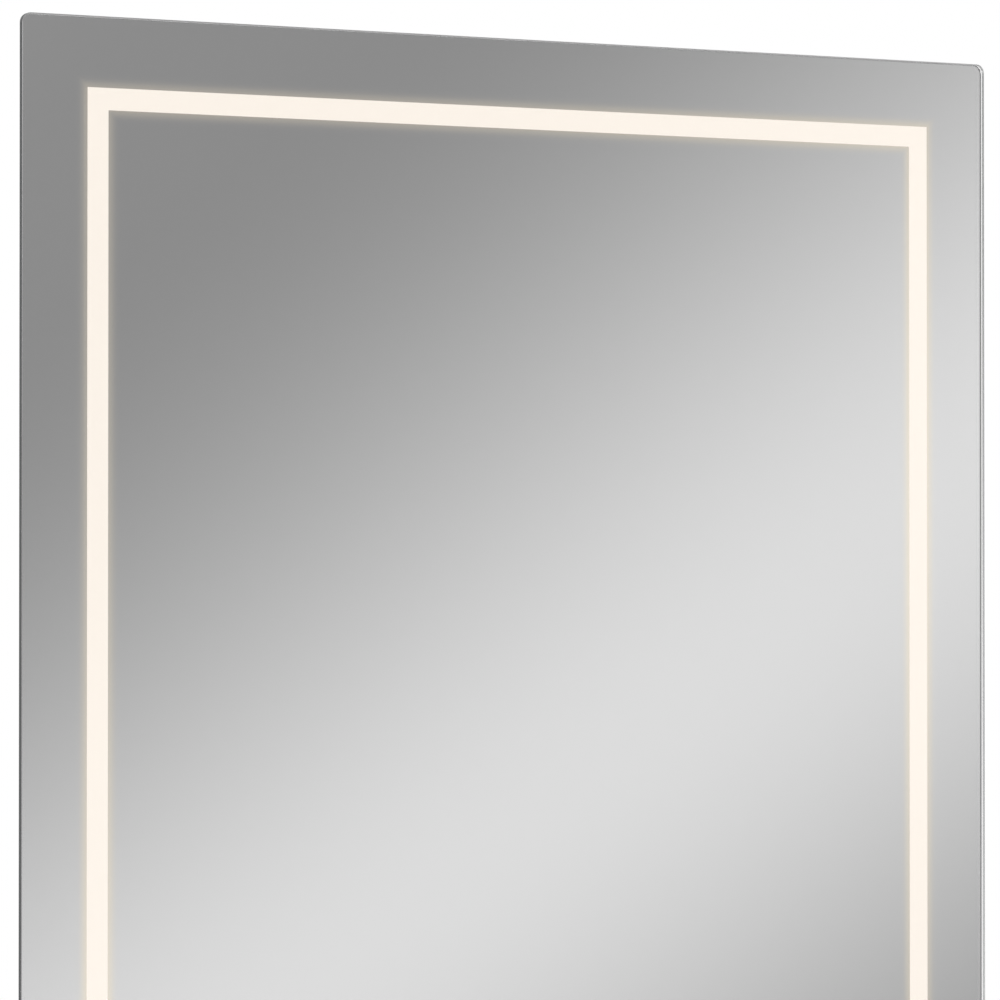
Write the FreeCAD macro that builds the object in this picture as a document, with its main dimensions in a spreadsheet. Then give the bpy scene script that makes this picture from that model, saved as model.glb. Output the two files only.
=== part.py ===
import FreeCAD, Part
import math
import os
import re

import Sketcher

# A lighted bathroom mirror: a thin rectangular pane with a glowing band let into its silvering,
# bonded to a mitred frame of extruded profile that holds the light strips behind that band,
# closed at the back by a sheet panel and hung by a hooked rail on a matching wall rail.
#
# Frame: the wall is the plane Y = 0 and the pane faces -Y, +X is to the right as one looks
# at the pane, +Z is up. The origin is midway between the wall rail's two round fixing holes.
# A piece's "stand" is its distance out from the wall, so stand 10 is Y = -10. A piece's
# "inset" is its distance in from the edge of the pane, seen from the front.

Vector = FreeCAD.Vector

# ---- driving dimensions, in millimetres (name, value, what it is) ----
SIZES = (
    ("glass_width", 600.0, "pane, side to side"),
    ("glass_height", 800.0, "pane, bottom to top"),
    ("glass_thick", 4.0, "float glass"),
    ("glass_corner", 5.0, "rounded corners of the pane"),
    ("glass_arris", 0.4, "ground edge of the pane"),
    ("silver_margin", 0.5, "bare rim left round the silvering"),
    ("band_inset", 38.0, "edge of the pane to the lit band"),
    ("band_width", 12.0, "lit band"),
    ("coat_thick", 0.1, "silvering with its paint, and the printed band"),
    ("coat_gap", 0.02, "optical gap between glass and coatings"),
    ("seal_thick", 0.1, "lacquer on the rim of the pane"),
    ("film_thick", 0.2, "shatter film on the back of the pane"),
    ("film_margin", 1.5, "shatter film short of the edge of the pane"),
    ("tape_thick", 1.0, "foam bonding tape"),
    ("tape_margin", 0.5, "tape short of the flange it lies on"),
    ("wall_gap", 1.5, "back of the frame clear of the wall"),
    ("frame_inset", 28.0, "edge of the pane to the outside of the frame"),
    ("frame_depth", 30.0, "frame profile, front to back"),
    ("frame_wall", 1.5, "wall of the frame profile"),
    ("frame_round", 1.0, "rounded back edges of the frame profile"),
    ("channel_margin", 0.5, "light channel wider than the band, each side"),
    ("channel_depth", 14.0, "front of the profile to the channel's floor"),
    ("groove_start", 2.5, "front of the profile to the snap groove"),
    ("groove_width", 1.5, "snap groove along the depth"),
    ("groove_cut", 0.7, "snap groove into the wall"),
    ("inner_flange", 8.0, "glue flange on the inside of the channel"),
    ("ledge_depth", 18.0, "front of the profile to the panel ledge"),
    ("ledge_width", 10.0, "panel ledge"),
    ("port_wall", 1.2, "wall of the screw port in the ledge"),
    ("port_spare", 0.5, "screw port deeper than the panel screws"),
    ("fit_play", 0.2, "assembly clearance between rigid pieces"),
    ("diffuser_thick", 1.5, "plate of the opal diffuser"),
    ("diffuser_leg", 1.0, "snap legs of the diffuser"),
    ("barb_reach", 0.3, "snap barb into its groove"),
    ("strip_width", 10.0, "light strip"),
    ("strip_thick", 1.2, "light strip with its adhesive"),
    ("strip_setback", 12.0, "light strip short of the channel's corner"),
    ("led_long", 3.5, "light emitter along the strip"),
    ("led_wide", 2.8, "light emitter across the strip"),
    ("led_tall", 0.8, "light emitter above the strip"),
    ("led_pitch", 20.0, "spacing of the emitters"),
    ("key_leg", 45.0, "corner key, along each profile"),
    ("key_thick", 8.0, "corner key, along the depth"),
    ("key_screw_reach", 32.0, "corner key's heel to its grub screw"),
    ("key_screw_radius", 2.5, "corner grub screw"),
    ("key_screw_tip", 1.75, "corner grub screw's point, radius"),
    ("key_screw_point", 1.0, "corner grub screw's point, length"),
    ("panel_thick", 1.0, "back panel, sheet steel"),
    ("panel_play", 0.5, "back panel clear of the frame"),
    ("gasket_thick", 0.8, "foam gasket under the back panel"),
    ("gasket_width", 3.0, "foam gasket"),
    ("bead_width", 14.0, "pressed bead in the back panel"),
    ("bead_rise", 1.2, "pressed bead out of the back panel"),
    ("bead_flank", 3.0, "sloping flank of the bead, seen square to the panel"),
    ("bead_end", 60.0, "pressed bead short of the frame, top and bottom"),
    ("bead_side", 70.0, "pressed bead's middle to the frame"),
    ("panel_screw_line", 6.0, "frame's inner wall to the panel screws"),
    ("panel_screw_end", 40.0, "panel corner to the first panel screw"),
    ("screw_radius", 1.75, "panel screw's shank"),
    ("screw_long", 6.0, "panel screw under its head"),
    ("screw_head", 3.5, "panel screw's head radius"),
    ("screw_head_tall", 2.2, "panel screw's head"),
    ("rail_thick", 2.0, "wall and hanger rail"),
    ("rail_end_gap", 28.0, "wall rail's end to the frame"),
    ("rail_below", 12.0, "wall rail below its fixings"),
    ("rail_above", 12.0, "wall rail's shelf above its fixings"),
    ("hook_tall", 8.0, "hook above the shelf"),
    ("hook_slot", 5.0, "clear slot between the hook and the wall"),
    ("hook_play", 0.5, "hanger lip clear of the hook"),
    ("hook_chamfer", 0.6, "lead-in on both hooks"),
    ("hook_bite", 7.0, "how far the hooks overlap"),
    ("seat_gap", 0.1, "hanger shelf above the hook it rests on"),
    ("hanger_end_gap", 38.0, "hanger rail's end to the frame"),
    ("hanger_tall", 15.0, "hanger rail's web"),
    ("hanger_clear", 4.9, "hanger rail's top to the line of panel screws"),
    ("fixing_end", 20.0, "wall rail's end to its round fixing hole"),
    ("slot_end", 120.0, "wall rail's end to its slotted hole"),
    ("fixing_radius", 2.75, "fixing hole for a 5 mm screw"),
    ("slot_long", 16.0, "slotted hole, end to end"),
    ("rivet_end", 20.0, "hanger rail's end to its first rivet"),
    ("rivet_radius", 2.0, "blind rivet"),
    ("rivet_head", 4.0, "blind rivet's head radius"),
    ("rivet_head_tall", 1.0, "blind rivet's head"),
    ("rivet_spread", 1.0, "blind rivet's set tail wider than its shank"),
    ("rivet_tail", 3.0, "blind rivet's set tail"),
    ("box_drop", 90.0, "wall fixings down to the terminal box"),
    ("box_width", 76.0, "terminal box, through the panel"),
    ("box_height", 50.0, "terminal box, through the panel"),
    ("box_depth", 16.0, "terminal box inside the panel"),
    ("box_wall", 1.8, "terminal box"),
    ("box_flange", 9.0, "terminal box's flange over the panel"),
    ("box_flange_thick", 1.5, "terminal box's flange"),
    ("box_round", 4.0, "terminal box's corners"),
    ("cover_thick", 2.0, "terminal box's cover"),
    ("grommet_bore", 4.5, "cable grommet's bore radius"),
    ("grommet_neck", 7.0, "cable grommet's neck radius"),
    ("grommet_rim", 9.5, "cable grommet's rim radius"),
    ("grommet_lip", 1.5, "cable grommet's rim, each side of the cover"),
    ("grommet_barb", 1.5, "cable grommet's inner rim beyond its neck"),
    ("block_width", 34.0, "terminal block"),
    ("block_height", 18.0, "terminal block"),
    ("block_depth", 11.0, "terminal block"),
    ("block_pitch", 10.0, "terminal block's poles"),
    ("block_wall", 2.5, "terminal block round its wells"),
    ("driver_drop", 190.0, "wall fixings down to the driver"),
    ("driver_width", 160.0, "driver's case"),
    ("driver_height", 44.0, "driver's case"),
    ("driver_depth", 16.0, "driver's case"),
    ("driver_bevel", 2.0, "driver's case, bevelled front edges"),
    ("driver_lug", 12.0, "driver's fixing lug"),
    ("driver_lug_thick", 3.0, "driver's fixing lug"),
    ("lug_screw_spare", 1.0, "driver's screws out through its lugs"),
    ("mains_radius", 3.2, "inner mains lead"),
    ("mains_bow", 46.0, "inner mains lead out beyond the driver"),
    ("feed_radius", 2.0, "low-voltage lead"),
    ("feed_side", 18.0, "low-voltage lead's upright run to the ledge"),
    ("feed_setback", 6.0, "channel's corner to the low-voltage lead"),
    ("earth_radius", 1.2, "earth lead"),
    ("earth_out", 34.0, "terminal box to the earth stud"),
    ("stud_radius", 2.0, "earth stud"),
    ("stud_long", 8.0, "earth stud"),
    ("nut_radius", 4.0, "earth nut across its corners"),
    ("nut_tall", 3.2, "earth nut"),
    ("clip_width", 14.0, "cable clip"),
    ("clip_long", 8.0, "cable clip along the lead"),
    ("clip_wall", 2.4, "cable clip over the lead"),
    ("bumper_radius", 7.0, "wall bumper"),
    ("bumper_end", 50.0, "wall bumper to the frame's corner"),
    ("cut_past", 1.0, "cuts run on past the faces where they start and end"),
)

# ---- counts of what repeats ----
ROW_SCREW_COUNT = 3
COLUMN_SCREW_COUNT = 4
RIVET_COUNT = 4
CLIP_COUNT = 3
ROUND_SIDE_COUNT = 12
NUT_SIDE_COUNT = 6
GROMMET_SIDE_COUNT = 24
LEAD_SIDE_COUNT = 8

# ---- names worked out from the driving dimensions ----
WORKED_OUT = {
    # levels up from the wall fixings
    "rail_drop": "screw_inset + hanger_clear + hanger_top",
    "pane_middle": "rail_drop - glass_height / 2",
    "pane_bottom": "rail_drop - glass_height",
    # insets across the frame profile
    "channel_out": "band_inset - channel_margin",
    "channel_in": "band_inset + band_width + channel_margin",
    "profile_in": "channel_in + frame_wall",
    "flange_in": "profile_in + inner_flange",
    "ledge_in": "profile_in + ledge_width",
    "profile_middle": "(frame_inset + profile_in) / 2",
    "strip_middle": "band_inset + band_width / 2",
    "panel_edge": "profile_in + panel_play",
    "screw_inset": "profile_in + panel_screw_line",
    # depths from the front of the frame profile
    "floor_back": "channel_depth + frame_wall",
    "groove_end": "groove_start + groove_width",
    "ledge_back": "ledge_depth + frame_wall",
    "rear_web": "frame_depth - frame_wall",
    "port_half": "screw_radius + fit_play / 4",
    "port_floor": "ledge_back + gasket_thick + panel_thick - screw_long - port_spare",
    # stands out from the wall
    "profile_stand": "wall_gap + frame_depth",
    "film_stand": "profile_stand + tape_thick",
    "coat_stand": "film_stand + film_thick",
    "glass_stand": "coat_stand + coat_thick + coat_gap",
    "gasket_stand": "profile_stand - ledge_back - gasket_thick",
    "panel_stand": "gasket_stand - panel_thick",
    "strip_stand": "profile_stand - channel_depth",
    "flange_stand": "panel_stand - box_flange_thick",
    "cover_stand": "flange_stand - cover_thick",
    "lead_stand": "strip_stand + strip_thick + feed_radius + fit_play / 2",
    # rails and their hooks
    "rail_half": "glass_width / 2 - profile_in - rail_end_gap",
    "hanger_half": "glass_width / 2 - profile_in - hanger_end_gap",
    "shelf_top": "rail_above",
    "hook_top": "shelf_top + hook_tall",
    "hook_out": "hook_slot + rail_thick",
    "seat_level": "hook_top + seat_gap",
    "hanger_top": "seat_level + rail_thick + hanger_tall",
    "lip_out": "hook_slot - hook_play",
    "rivet_level": "seat_level + (hanger_tall + rail_thick) / 2",
    # terminal box and driver
    "box_level": "-box_drop",
    "driver_level": "-driver_drop",
    "cover_screw_x": "box_width / 2 + box_flange / 2",
    "driver_screw_x": "driver_width / 2 + driver_lug / 2",
    "box_floor": "panel_stand + box_depth - box_wall",
    "stud_x": "box_width / 2 + earth_out",
    "well_half": "(block_pitch - block_wall) / 2",
    # leads
    "mains_x": "driver_width / 2 + mains_bow",
    "feed_x": "glass_width / 2 - ledge_in - feed_side",
    "feed_level": "rail_drop - channel_in - feed_setback",
}

# ---- the four sides of the frame: half length, turn about Y, and the middle of the pane's edge ----
SIDES = {
    "top": ("glass_width / 2", 0.0, "0", "rail_drop"),
    "bottom": ("glass_width / 2", 180.0, "0", "pane_bottom"),
    "left": ("glass_height / 2", -90.0, "-glass_width / 2", "pane_middle"),
    "right": ("glass_height / 2", 90.0, "glass_width / 2", "pane_middle"),
}

# lengths closer than this are taken as equal, and volumes closer than the second
TINY = 1e-4
VOLUME_SLACK = 1e-3

# share of the shorter of two runs that the arc between them may take up
RUN_SHARE = 0.45

CORNERS = ((-1, -1), (1, -1), (1, 1), (-1, 1))
WORD = re.compile(r"[a-z][a-z_]+")
FUNCTIONS = {"atan"}

doc = FreeCAD.newDocument("LightedMirror")
sheet = doc.addObject("Spreadsheet::Sheet", "Sizes")
for row, (alias, value, meaning) in enumerate(SIZES, start=1):
    sheet.set(f"A{row}", meaning)
    sheet.set(f"B{row}", str(value))
    sheet.setAlias(f"B{row}", alias)
doc.recompute()

ALIASES = {alias for alias, value, meaning in SIZES}
pieces = []


# ---------------------------------------------------------------- helpers


def expand(text):
    """Turn size names into sheet references and worked-out names into their formulas."""

    def swap(match):
        word = match.group()
        if word in WORKED_OUT:
            return "(" + expand(WORKED_OUT[word]) + ")"
        if word in ALIASES:
            return "Sizes." + word
        if word in FUNCTIONS:
            return word
        raise NameError(f"no size is called {word}")

    return WORD.sub(swap, str(text))


def measure(text):
    """The value of a formula of size names, in millimetres."""
    return float(sheet.evalExpression(expand(text)))


def place(item, across="0", stand="0", up="0", axis=Vector(0, 1, 0), turn=0.0):
    """Give an object its Placement, tied to the sheet."""
    item.Placement = FreeCAD.Placement(Vector(), FreeCAD.Rotation(axis, turn))
    item.setExpression("Placement.Base.x", expand(across))
    item.setExpression("Placement.Base.y", expand(f"-({stand})"))
    item.setExpression("Placement.Base.z", expand(up))


def keep(item, label):
    """Name a finished sub-part and list it for export."""
    item.Label = label
    pieces.append(item)
    return item


def bare_body(label, across="0", stand="0", up="0", turn=0.0):
    """A body for sketches and features, placed from the sheet."""
    body = doc.addObject("PartDesign::Body", label)
    place(body, across, stand, up, turn=turn)
    return body


def new_body(label, across="0", stand="0", up="0", turn=0.0):
    """A body that is a sub-part by itself."""
    return keep(bare_body(label, across, stand, up, turn), label)


def origin_of(body, role):
    """One of the body's own origin planes or axes."""
    return next(item for item in body.Origin.OriginFeatures if item.Role == role)


def new_sketch(body, plane="XZ_Plane", lift="0"):
    """A sketch on one of the body's origin planes, lifted along that plane's normal."""
    sketch = body.newObject("Sketcher::SketchObject", "outline")
    sketch.AttachmentSupport = [(origin_of(body, plane), "")]
    sketch.MapMode = "FlatFace"
    sketch.setExpression("AttachmentOffset.Base.z", expand(lift))
    return sketch


def pin_point(sketch, geometry, point, across, up):
    """Tie one point of a sketch to the origin by its two distances."""
    for kind, text in (("DistanceX", across), ("DistanceY", up)):
        index = sketch.addConstraint(
            Sketcher.Constraint(kind, -1, 1, geometry, point, measure(text))
        )
        sketch.setExpression(f"Constraints[{index}]", expand(text))


def draw_polygon(sketch, corners):
    """A closed outline of straight lines through corners given as formulas."""
    first = sketch.GeometryCount
    count = len(corners)
    spots = [Vector(measure(across), measure(up), 0) for across, up in corners]
    lines = [Part.LineSegment(spots[i], spots[(i + 1) % count]) for i in range(count)]
    sketch.addGeometry(lines, False)
    joined = [
        Sketcher.Constraint("Coincident", first + i, 2, first + (i + 1) % count, 1)
        for i in range(count)
    ]
    sketch.addConstraint(joined)
    for i, (across, up) in enumerate(corners):
        pin_point(sketch, first + i, 1, across, up)


def draw_rectangle(sketch, half_across, half_up, across="0", up="0"):
    """A rectangle about a middle point."""
    corners = [
        (f"{across} + {x} * ({half_across})", f"{up} + {z} * ({half_up})")
        for x, z in CORNERS
    ]
    draw_polygon(sketch, corners)


def draw_circle(sketch, across, up, radius):
    """A circle with its centre and radius tied to the sheet."""
    centre = Vector(measure(across), measure(up), 0)
    circle = Part.Circle(centre, Vector(0, 0, 1), measure(radius))
    index = sketch.addGeometry(circle, False)
    pin_point(sketch, index, 3, across, up)
    size = sketch.addConstraint(Sketcher.Constraint("Radius", index, measure(radius)))
    sketch.setExpression(f"Constraints[{size}]", expand(radius))


def draw_hole(sketch, across, up, radius):
    """A hole that a fastener or lead fills: a ring of short straight lines, a corner on each axis."""
    corners = []
    for k in range(ROUND_SIDE_COUNT):
        angle = 2 * math.pi * k / ROUND_SIDE_COUNT
        along, aside = round(math.cos(angle), 6), round(math.sin(angle), 6)
        corners.append((f"{across} + ({radius}) * {along}", f"{up} + ({radius}) * {aside}"))
    draw_polygon(sketch, corners)


def draw_slot(sketch, across, up, half_reach, radius):
    """A slot along the sketch's first axis: two half circles joined by two lines."""
    x, z, reach, r = (measure(text) for text in (across, up, half_reach, radius))
    normal = Vector(0, 0, 1)
    left = Part.ArcOfCircle(
        Part.Circle(Vector(x - reach, z, 0), normal, r), math.pi / 2, 3 * math.pi / 2
    )
    right = Part.ArcOfCircle(
        Part.Circle(Vector(x + reach, z, 0), normal, r), -math.pi / 2, math.pi / 2
    )
    below = Part.LineSegment(Vector(x - reach, z - r, 0), Vector(x + reach, z - r, 0))
    above = Part.LineSegment(Vector(x + reach, z + r, 0), Vector(x - reach, z + r, 0))
    a = sketch.addGeometry(left, False)
    b = sketch.addGeometry(below, False)
    c = sketch.addGeometry(right, False)
    d = sketch.addGeometry(above, False)
    for one, one_end, other, other_end in ((a, 2, b, 1), (b, 2, c, 1), (c, 2, d, 1), (d, 2, a, 1)):
        sketch.addConstraint(Sketcher.Constraint("Tangent", one, one_end, other, other_end))
    pin_point(sketch, a, 3, f"{across} - ({half_reach})", up)
    pin_point(sketch, c, 3, f"{across} + ({half_reach})", up)
    size = sketch.addConstraint(Sketcher.Constraint("Radius", a, r))
    sketch.setExpression(f"Constraints[{size}]", expand(radius))


def add_pad(body, sketch, length, middle=False, flank=None):
    """Pad a sketch along its plane's normal, or evenly to both sides of it.

    A flank is how much wider the pad gets on each side over its length.
    """
    feature = body.newObject("PartDesign::Pad", "pad")
    feature.Profile = sketch
    if middle:
        feature.SideType = "Symmetric"
    if flank is not None:
        feature.setExpression("TaperAngle", expand(f"atan(({flank}) / ({length}))"))
    feature.setExpression("Length", expand(length))
    doc.recompute()
    return feature


def add_pocket(body, sketch, depth=None, along_normal=True):
    """Cut a sketch into the body, and make sure that it met the solid."""
    before = body.Shape.Volume
    feature = body.newObject("PartDesign::Pocket", "pocket")
    feature.Profile = sketch
    if depth is None:
        feature.Type = "ThroughAll"
        feature.SideType = "Symmetric"
    else:
        feature.Reversed = along_normal
        feature.setExpression("Length", expand(depth))
    doc.recompute()
    if feature.Shape.Volume >= before - VOLUME_SLACK:
        raise ValueError(f"{body.Label}: a pocket cuts nothing")
    return feature


def add_fillet(body, feature, chosen, radius):
    """Round the chosen edges of a feature."""
    fillet = body.newObject("PartDesign::Fillet", "fillet")
    fillet.Base = (feature, chosen)
    fillet.setExpression("Radius", expand(radius))
    doc.recompute()
    return fillet


def add_chamfer(body, feature, chosen, size):
    """Bevel the chosen edges of a feature."""
    chamfer = body.newObject("PartDesign::Chamfer", "chamfer")
    chamfer.Base = (feature, chosen)
    chamfer.setExpression("Size", expand(size))
    doc.recompute()
    return chamfer


def edges_where(feature, wanted):
    """Names of the feature's edges for which a test of the edge holds."""
    edges = feature.Shape.Edges
    return [f"Edge{i}" for i, edge in enumerate(edges, start=1) if wanted(edge)]


def runs_along(edge, axis):
    """True for a straight edge parallel to an axis."""
    if edge.Curve.TypeId != "Part::GeomLine":
        return False
    return abs(edge.Curve.Direction.dot(axis)) > 1 - TINY


def upright_edges(feature, half_across=None):
    """Edges square to the pane, or only those at one distance either side of the middle."""

    def wanted(edge):
        if not runs_along(edge, Vector(0, 1, 0)):
            return False
        if half_across is None:
            return True
        return abs(abs(edge.CenterOfMass.x) - measure(half_across)) < TINY

    return edges_where(feature, wanted)


def spaced(half_span, count):
    """Formulas for places evenly spaced from -half_span to +half_span."""
    return [f"({half_span}) * {2 * i / (count - 1) - 1!r}" for i in range(count)]


def stepped_pins(label, stages, spots, stand):
    """One stepped pin about the Y axis, built of prisms, and a copy of it at every spot.

    A stage is (radius, start, end, sides), its start and end measured towards the pane.
    """
    steps = []
    for radius, start, end, sides in stages:
        step = doc.addObject("Part::Prism", f"{label}_stage")
        step.Polygon = sides
        step.setExpression("Circumradius", expand(radius))
        step.setExpression("Height", expand(f"({end}) - ({start})"))
        place(step, stand=start, axis=Vector(1, 0, 0), turn=90)
        steps.append(step)
    whole = steps[0]
    if len(steps) > 1:
        whole = doc.addObject("Part::MultiFuse", f"one_{label}")
        whole.Shapes = steps
    copies = []
    for across, up in spots:
        copy = doc.addObject("App::Link", f"{label}_copy")
        copy.LinkedObject = whole
        copy.LinkTransform = True
        place(copy, across, stand, up)
        copies.append(copy)
    group = doc.addObject("Part::Compound", label)
    group.Links = copies
    return group


def fastener(label, stages, spots, stand):
    """A sub-part of alike fasteners, one at every spot."""
    return keep(stepped_pins(label, stages, spots, stand), label)


def drill(label, plate, families, stand, thick):
    """Cut families of alike straight holes, (places, radius), through a flat body."""
    tools = []
    for spots, radius in families:
        stages = ((radius, "-cut_past", f"{thick} + cut_past", ROUND_SIDE_COUNT),)
        tools.append(stepped_pins(f"{label}_drill", stages, spots, stand))
    drills = doc.addObject("Part::Compound", f"{label}_drills")
    drills.Links = tools
    drilled = doc.addObject("Part::Cut", label)
    drilled.Base = plate
    drilled.Tool = drills
    doc.recompute()
    if drilled.Shape.Volume >= plate.Shape.Volume - VOLUME_SLACK:
        raise ValueError(f"{label}: the drills cut nothing")
    return keep(drilled, label)


# ---------------------------------------------------------------- the pane and its coatings


def sheet_piece(label, outer_inset, thick, stand, inner_inset=None, outer_corner=None, inner_corner=None):
    """A flat piece the shape of the pane, inset all round, with an optional window in it."""
    body = new_body(label, stand=stand, up="pane_middle")
    sketch = new_sketch(body)
    insets = [outer_inset] if inner_inset is None else [outer_inset, inner_inset]
    for inset in insets:
        draw_rectangle(sketch, f"glass_width / 2 - ({inset})", f"glass_height / 2 - ({inset})")
    feature = add_pad(body, sketch, thick)
    for inset, corner in ((outer_inset, outer_corner), (inner_inset, inner_corner)):
        if corner is not None:
            chosen = upright_edges(feature, f"glass_width / 2 - ({inset})")
            feature = add_fillet(body, feature, chosen, corner)
    return body


def mirror_glass():
    """Float glass pane with rounded corners and a ground arris on both faces."""
    body = sheet_piece("mirror_glass", "0", "glass_thick", "glass_stand", outer_corner="glass_corner")
    rounded = body.Tip
    rims = edges_where(rounded, lambda edge: edge.BoundBox.YLength < TINY)
    add_chamfer(body, rounded, rims, "glass_arris")


def coatings():
    """Edge lacquer, silvering each side of the lit band, the printed band and the shatter film."""
    sheet_piece(
        "edge_seal", "-(coat_gap + seal_thick)", "glass_thick - 2 * glass_arris",
        "glass_stand + glass_arris", "-coat_gap", "glass_corner + coat_gap + seal_thick",
        "glass_corner + coat_gap",
    )
    sheet_piece(
        "silver_border", "silver_margin", "coat_thick", "coat_stand", "band_inset",
        "glass_corner - silver_margin",
    )
    sheet_piece("light_band", "band_inset", "coat_thick", "coat_stand", "band_inset + band_width")
    sheet_piece("silver_field", "band_inset + band_width", "coat_thick", "coat_stand")
    sheet_piece(
        "film_border", "film_margin", "film_thick", "film_stand", "channel_out",
        "glass_corner - film_margin",
    )
    sheet_piece("film_field", "channel_in", "film_thick", "film_stand")


def bonding_tapes():
    """Two rings of foam tape that bond the pane to the frame's glue flanges."""
    sheet_piece(
        "bonding_tape_outer", "frame_inset + tape_margin", "tape_thick", "profile_stand",
        "channel_out - tape_margin",
    )
    sheet_piece(
        "bonding_tape_inner", "channel_in + tape_margin", "tape_thick", "profile_stand",
        "flange_in - tape_margin",
    )


# ---------------------------------------------------------------- the frame of light profile


def side_body(label, side):
    """A body whose X runs along one side, with the inset measured down its own -Z."""
    half, turn, across, up = SIDES[side]
    return new_body(label, across=across, up=up, turn=turn)


def draw_section(sketch, corners):
    """A section outline from (inset, depth) formulas, depth from the profile's front."""
    draw_polygon(sketch, [(f"{depth} - profile_stand", f"-({inset})") for inset, depth in corners])


def add_mitres(body, half, outer_inset, inner_inset, play="0"):
    """Cut both ends at 45 degrees along the line from the pane's corners."""
    sketch = new_sketch(body)
    for way in (-1, 1):
        outside = f"{way} * ({half} - ({play}) - ({outer_inset}) + cut_past)"
        inside = f"{way} * ({half} - ({play}) - ({inner_inset}) - cut_past)"
        corners = (
            (outside, f"-({outer_inset}) + cut_past"),
            (outside, f"-({inner_inset}) - cut_past"),
            (inside, f"-({inner_inset}) - cut_past"),
        )
        draw_polygon(sketch, corners)
    return add_pocket(body, sketch)


def screw_places(side):
    """Where the panel screws sit along one side, in that side's own X."""
    if side in ("top", "bottom"):
        return spaced("glass_width / 2 - screw_inset - panel_screw_end", ROW_SCREW_COUNT)
    return spaced("glass_height / 2 - screw_inset - panel_screw_end", COLUMN_SCREW_COUNT)


def frame_profile(side):
    """One mitred length of the extruded profile.

    The section has a glue flange each side of an open light channel with snap grooves, a hollow
    beside the channel, a closed chamber behind it for the corner keys, and a ledge for the panel
    with a slot along it, the screw port, in which the panel screws cut their threads.
    """
    half = SIDES[side][0]
    body = side_body(f"chassis_{side}", side)
    sketch = new_sketch(body, "YZ_Plane")
    outline = (
        ("frame_inset", "0"),
        ("channel_out", "0"),
        ("channel_out", "groove_start"),
        ("channel_out - groove_cut", "groove_start"),
        ("channel_out - groove_cut", "groove_end"),
        ("channel_out", "groove_end"),
        ("channel_out", "channel_depth"),
        ("channel_in", "channel_depth"),
        ("channel_in", "groove_end"),
        ("channel_in + groove_cut", "groove_end"),
        ("channel_in + groove_cut", "groove_start"),
        ("channel_in", "groove_start"),
        ("channel_in", "0"),
        ("flange_in", "0"),
        ("flange_in", "frame_wall"),
        ("profile_in", "frame_wall"),
        ("profile_in", "ledge_depth"),
        ("screw_inset - port_half - port_wall", "ledge_depth"),
        ("screw_inset - port_half - port_wall", "port_floor - port_wall"),
        ("screw_inset + port_half + port_wall", "port_floor - port_wall"),
        ("screw_inset + port_half + port_wall", "ledge_depth"),
        ("ledge_in", "ledge_depth"),
        ("ledge_in", "ledge_back"),
        ("screw_inset + port_half", "ledge_back"),
        ("screw_inset + port_half", "port_floor"),
        ("screw_inset - port_half", "port_floor"),
        ("screw_inset - port_half", "ledge_back"),
        ("profile_in", "ledge_back"),
        ("profile_in", "frame_depth"),
        ("frame_inset", "frame_depth"),
    )
    side_hollow = (
        ("frame_inset + frame_wall", "frame_wall"),
        ("channel_out - frame_wall", "frame_wall"),
        ("channel_out - frame_wall", "channel_depth"),
        ("frame_inset + frame_wall", "channel_depth"),
    )
    key_chamber = (
        ("frame_inset + frame_wall", "floor_back"),
        ("channel_in", "floor_back"),
        ("channel_in", "rear_web"),
        ("frame_inset + frame_wall", "rear_web"),
    )
    for corners in (outline, side_hollow, key_chamber):
        draw_section(sketch, corners)
    bar = add_pad(body, sketch, f"2 * ({half} - frame_inset)", middle=True)
    back_edges = edges_where(
        bar,
        lambda edge: runs_along(edge, Vector(1, 0, 0))
        and abs(edge.CenterOfMass.y + measure("wall_gap")) < TINY,
    )
    add_fillet(body, bar, back_edges, "frame_round")
    add_mitres(body, half, "frame_inset", "ledge_in")

    tapped = new_sketch(body, lift="wall_gap - cut_past")
    for way in (-1, 1):
        across = f"{way} * ({half} - profile_middle - key_screw_reach)"
        draw_hole(tapped, across, "-profile_middle", "key_screw_radius + fit_play / 4")
    add_pocket(body, tapped, "frame_wall + 2 * cut_past")

    if side == "right":
        entry = new_sketch(body, "XY_Plane", lift="-(profile_in + cut_past)")
        draw_hole(
            entry, f"-({half} - channel_in - feed_setback)", "-lead_stand", "feed_radius + fit_play"
        )
        add_pocket(body, entry, "frame_wall + 2 * cut_past")
    return body


def diffuser(side):
    """Opal strip across the channel's mouth, with two snap legs whose barbs sit in the grooves."""
    half = SIDES[side][0]
    body = side_body(f"diffuser_{side}", side)
    barb_start = "groove_start + fit_play"
    leg_end = "groove_end - fit_play / 2"
    out, back_in = "channel_out + fit_play", "channel_in - fit_play"
    plate_back = "fit_play + diffuser_thick"
    corners = (
        (out, "fit_play"),
        (back_in, "fit_play"),
        (back_in, barb_start),
        ("channel_in + barb_reach", barb_start),
        (back_in, leg_end),
        (f"{back_in} - diffuser_leg", leg_end),
        (f"{back_in} - diffuser_leg", plate_back),
        (f"{out} + diffuser_leg", plate_back),
        (f"{out} + diffuser_leg", leg_end),
        (out, leg_end),
        ("channel_out - barb_reach", barb_start),
        (out, barb_start),
    )
    sketch = new_sketch(body, "YZ_Plane")
    draw_section(sketch, corners)
    add_pad(body, sketch, f"2 * ({half} - channel_out + groove_cut)", middle=True)
    add_mitres(body, half, "channel_out - groove_cut", "channel_in + groove_cut", "fit_play / 2")
    return body


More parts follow.
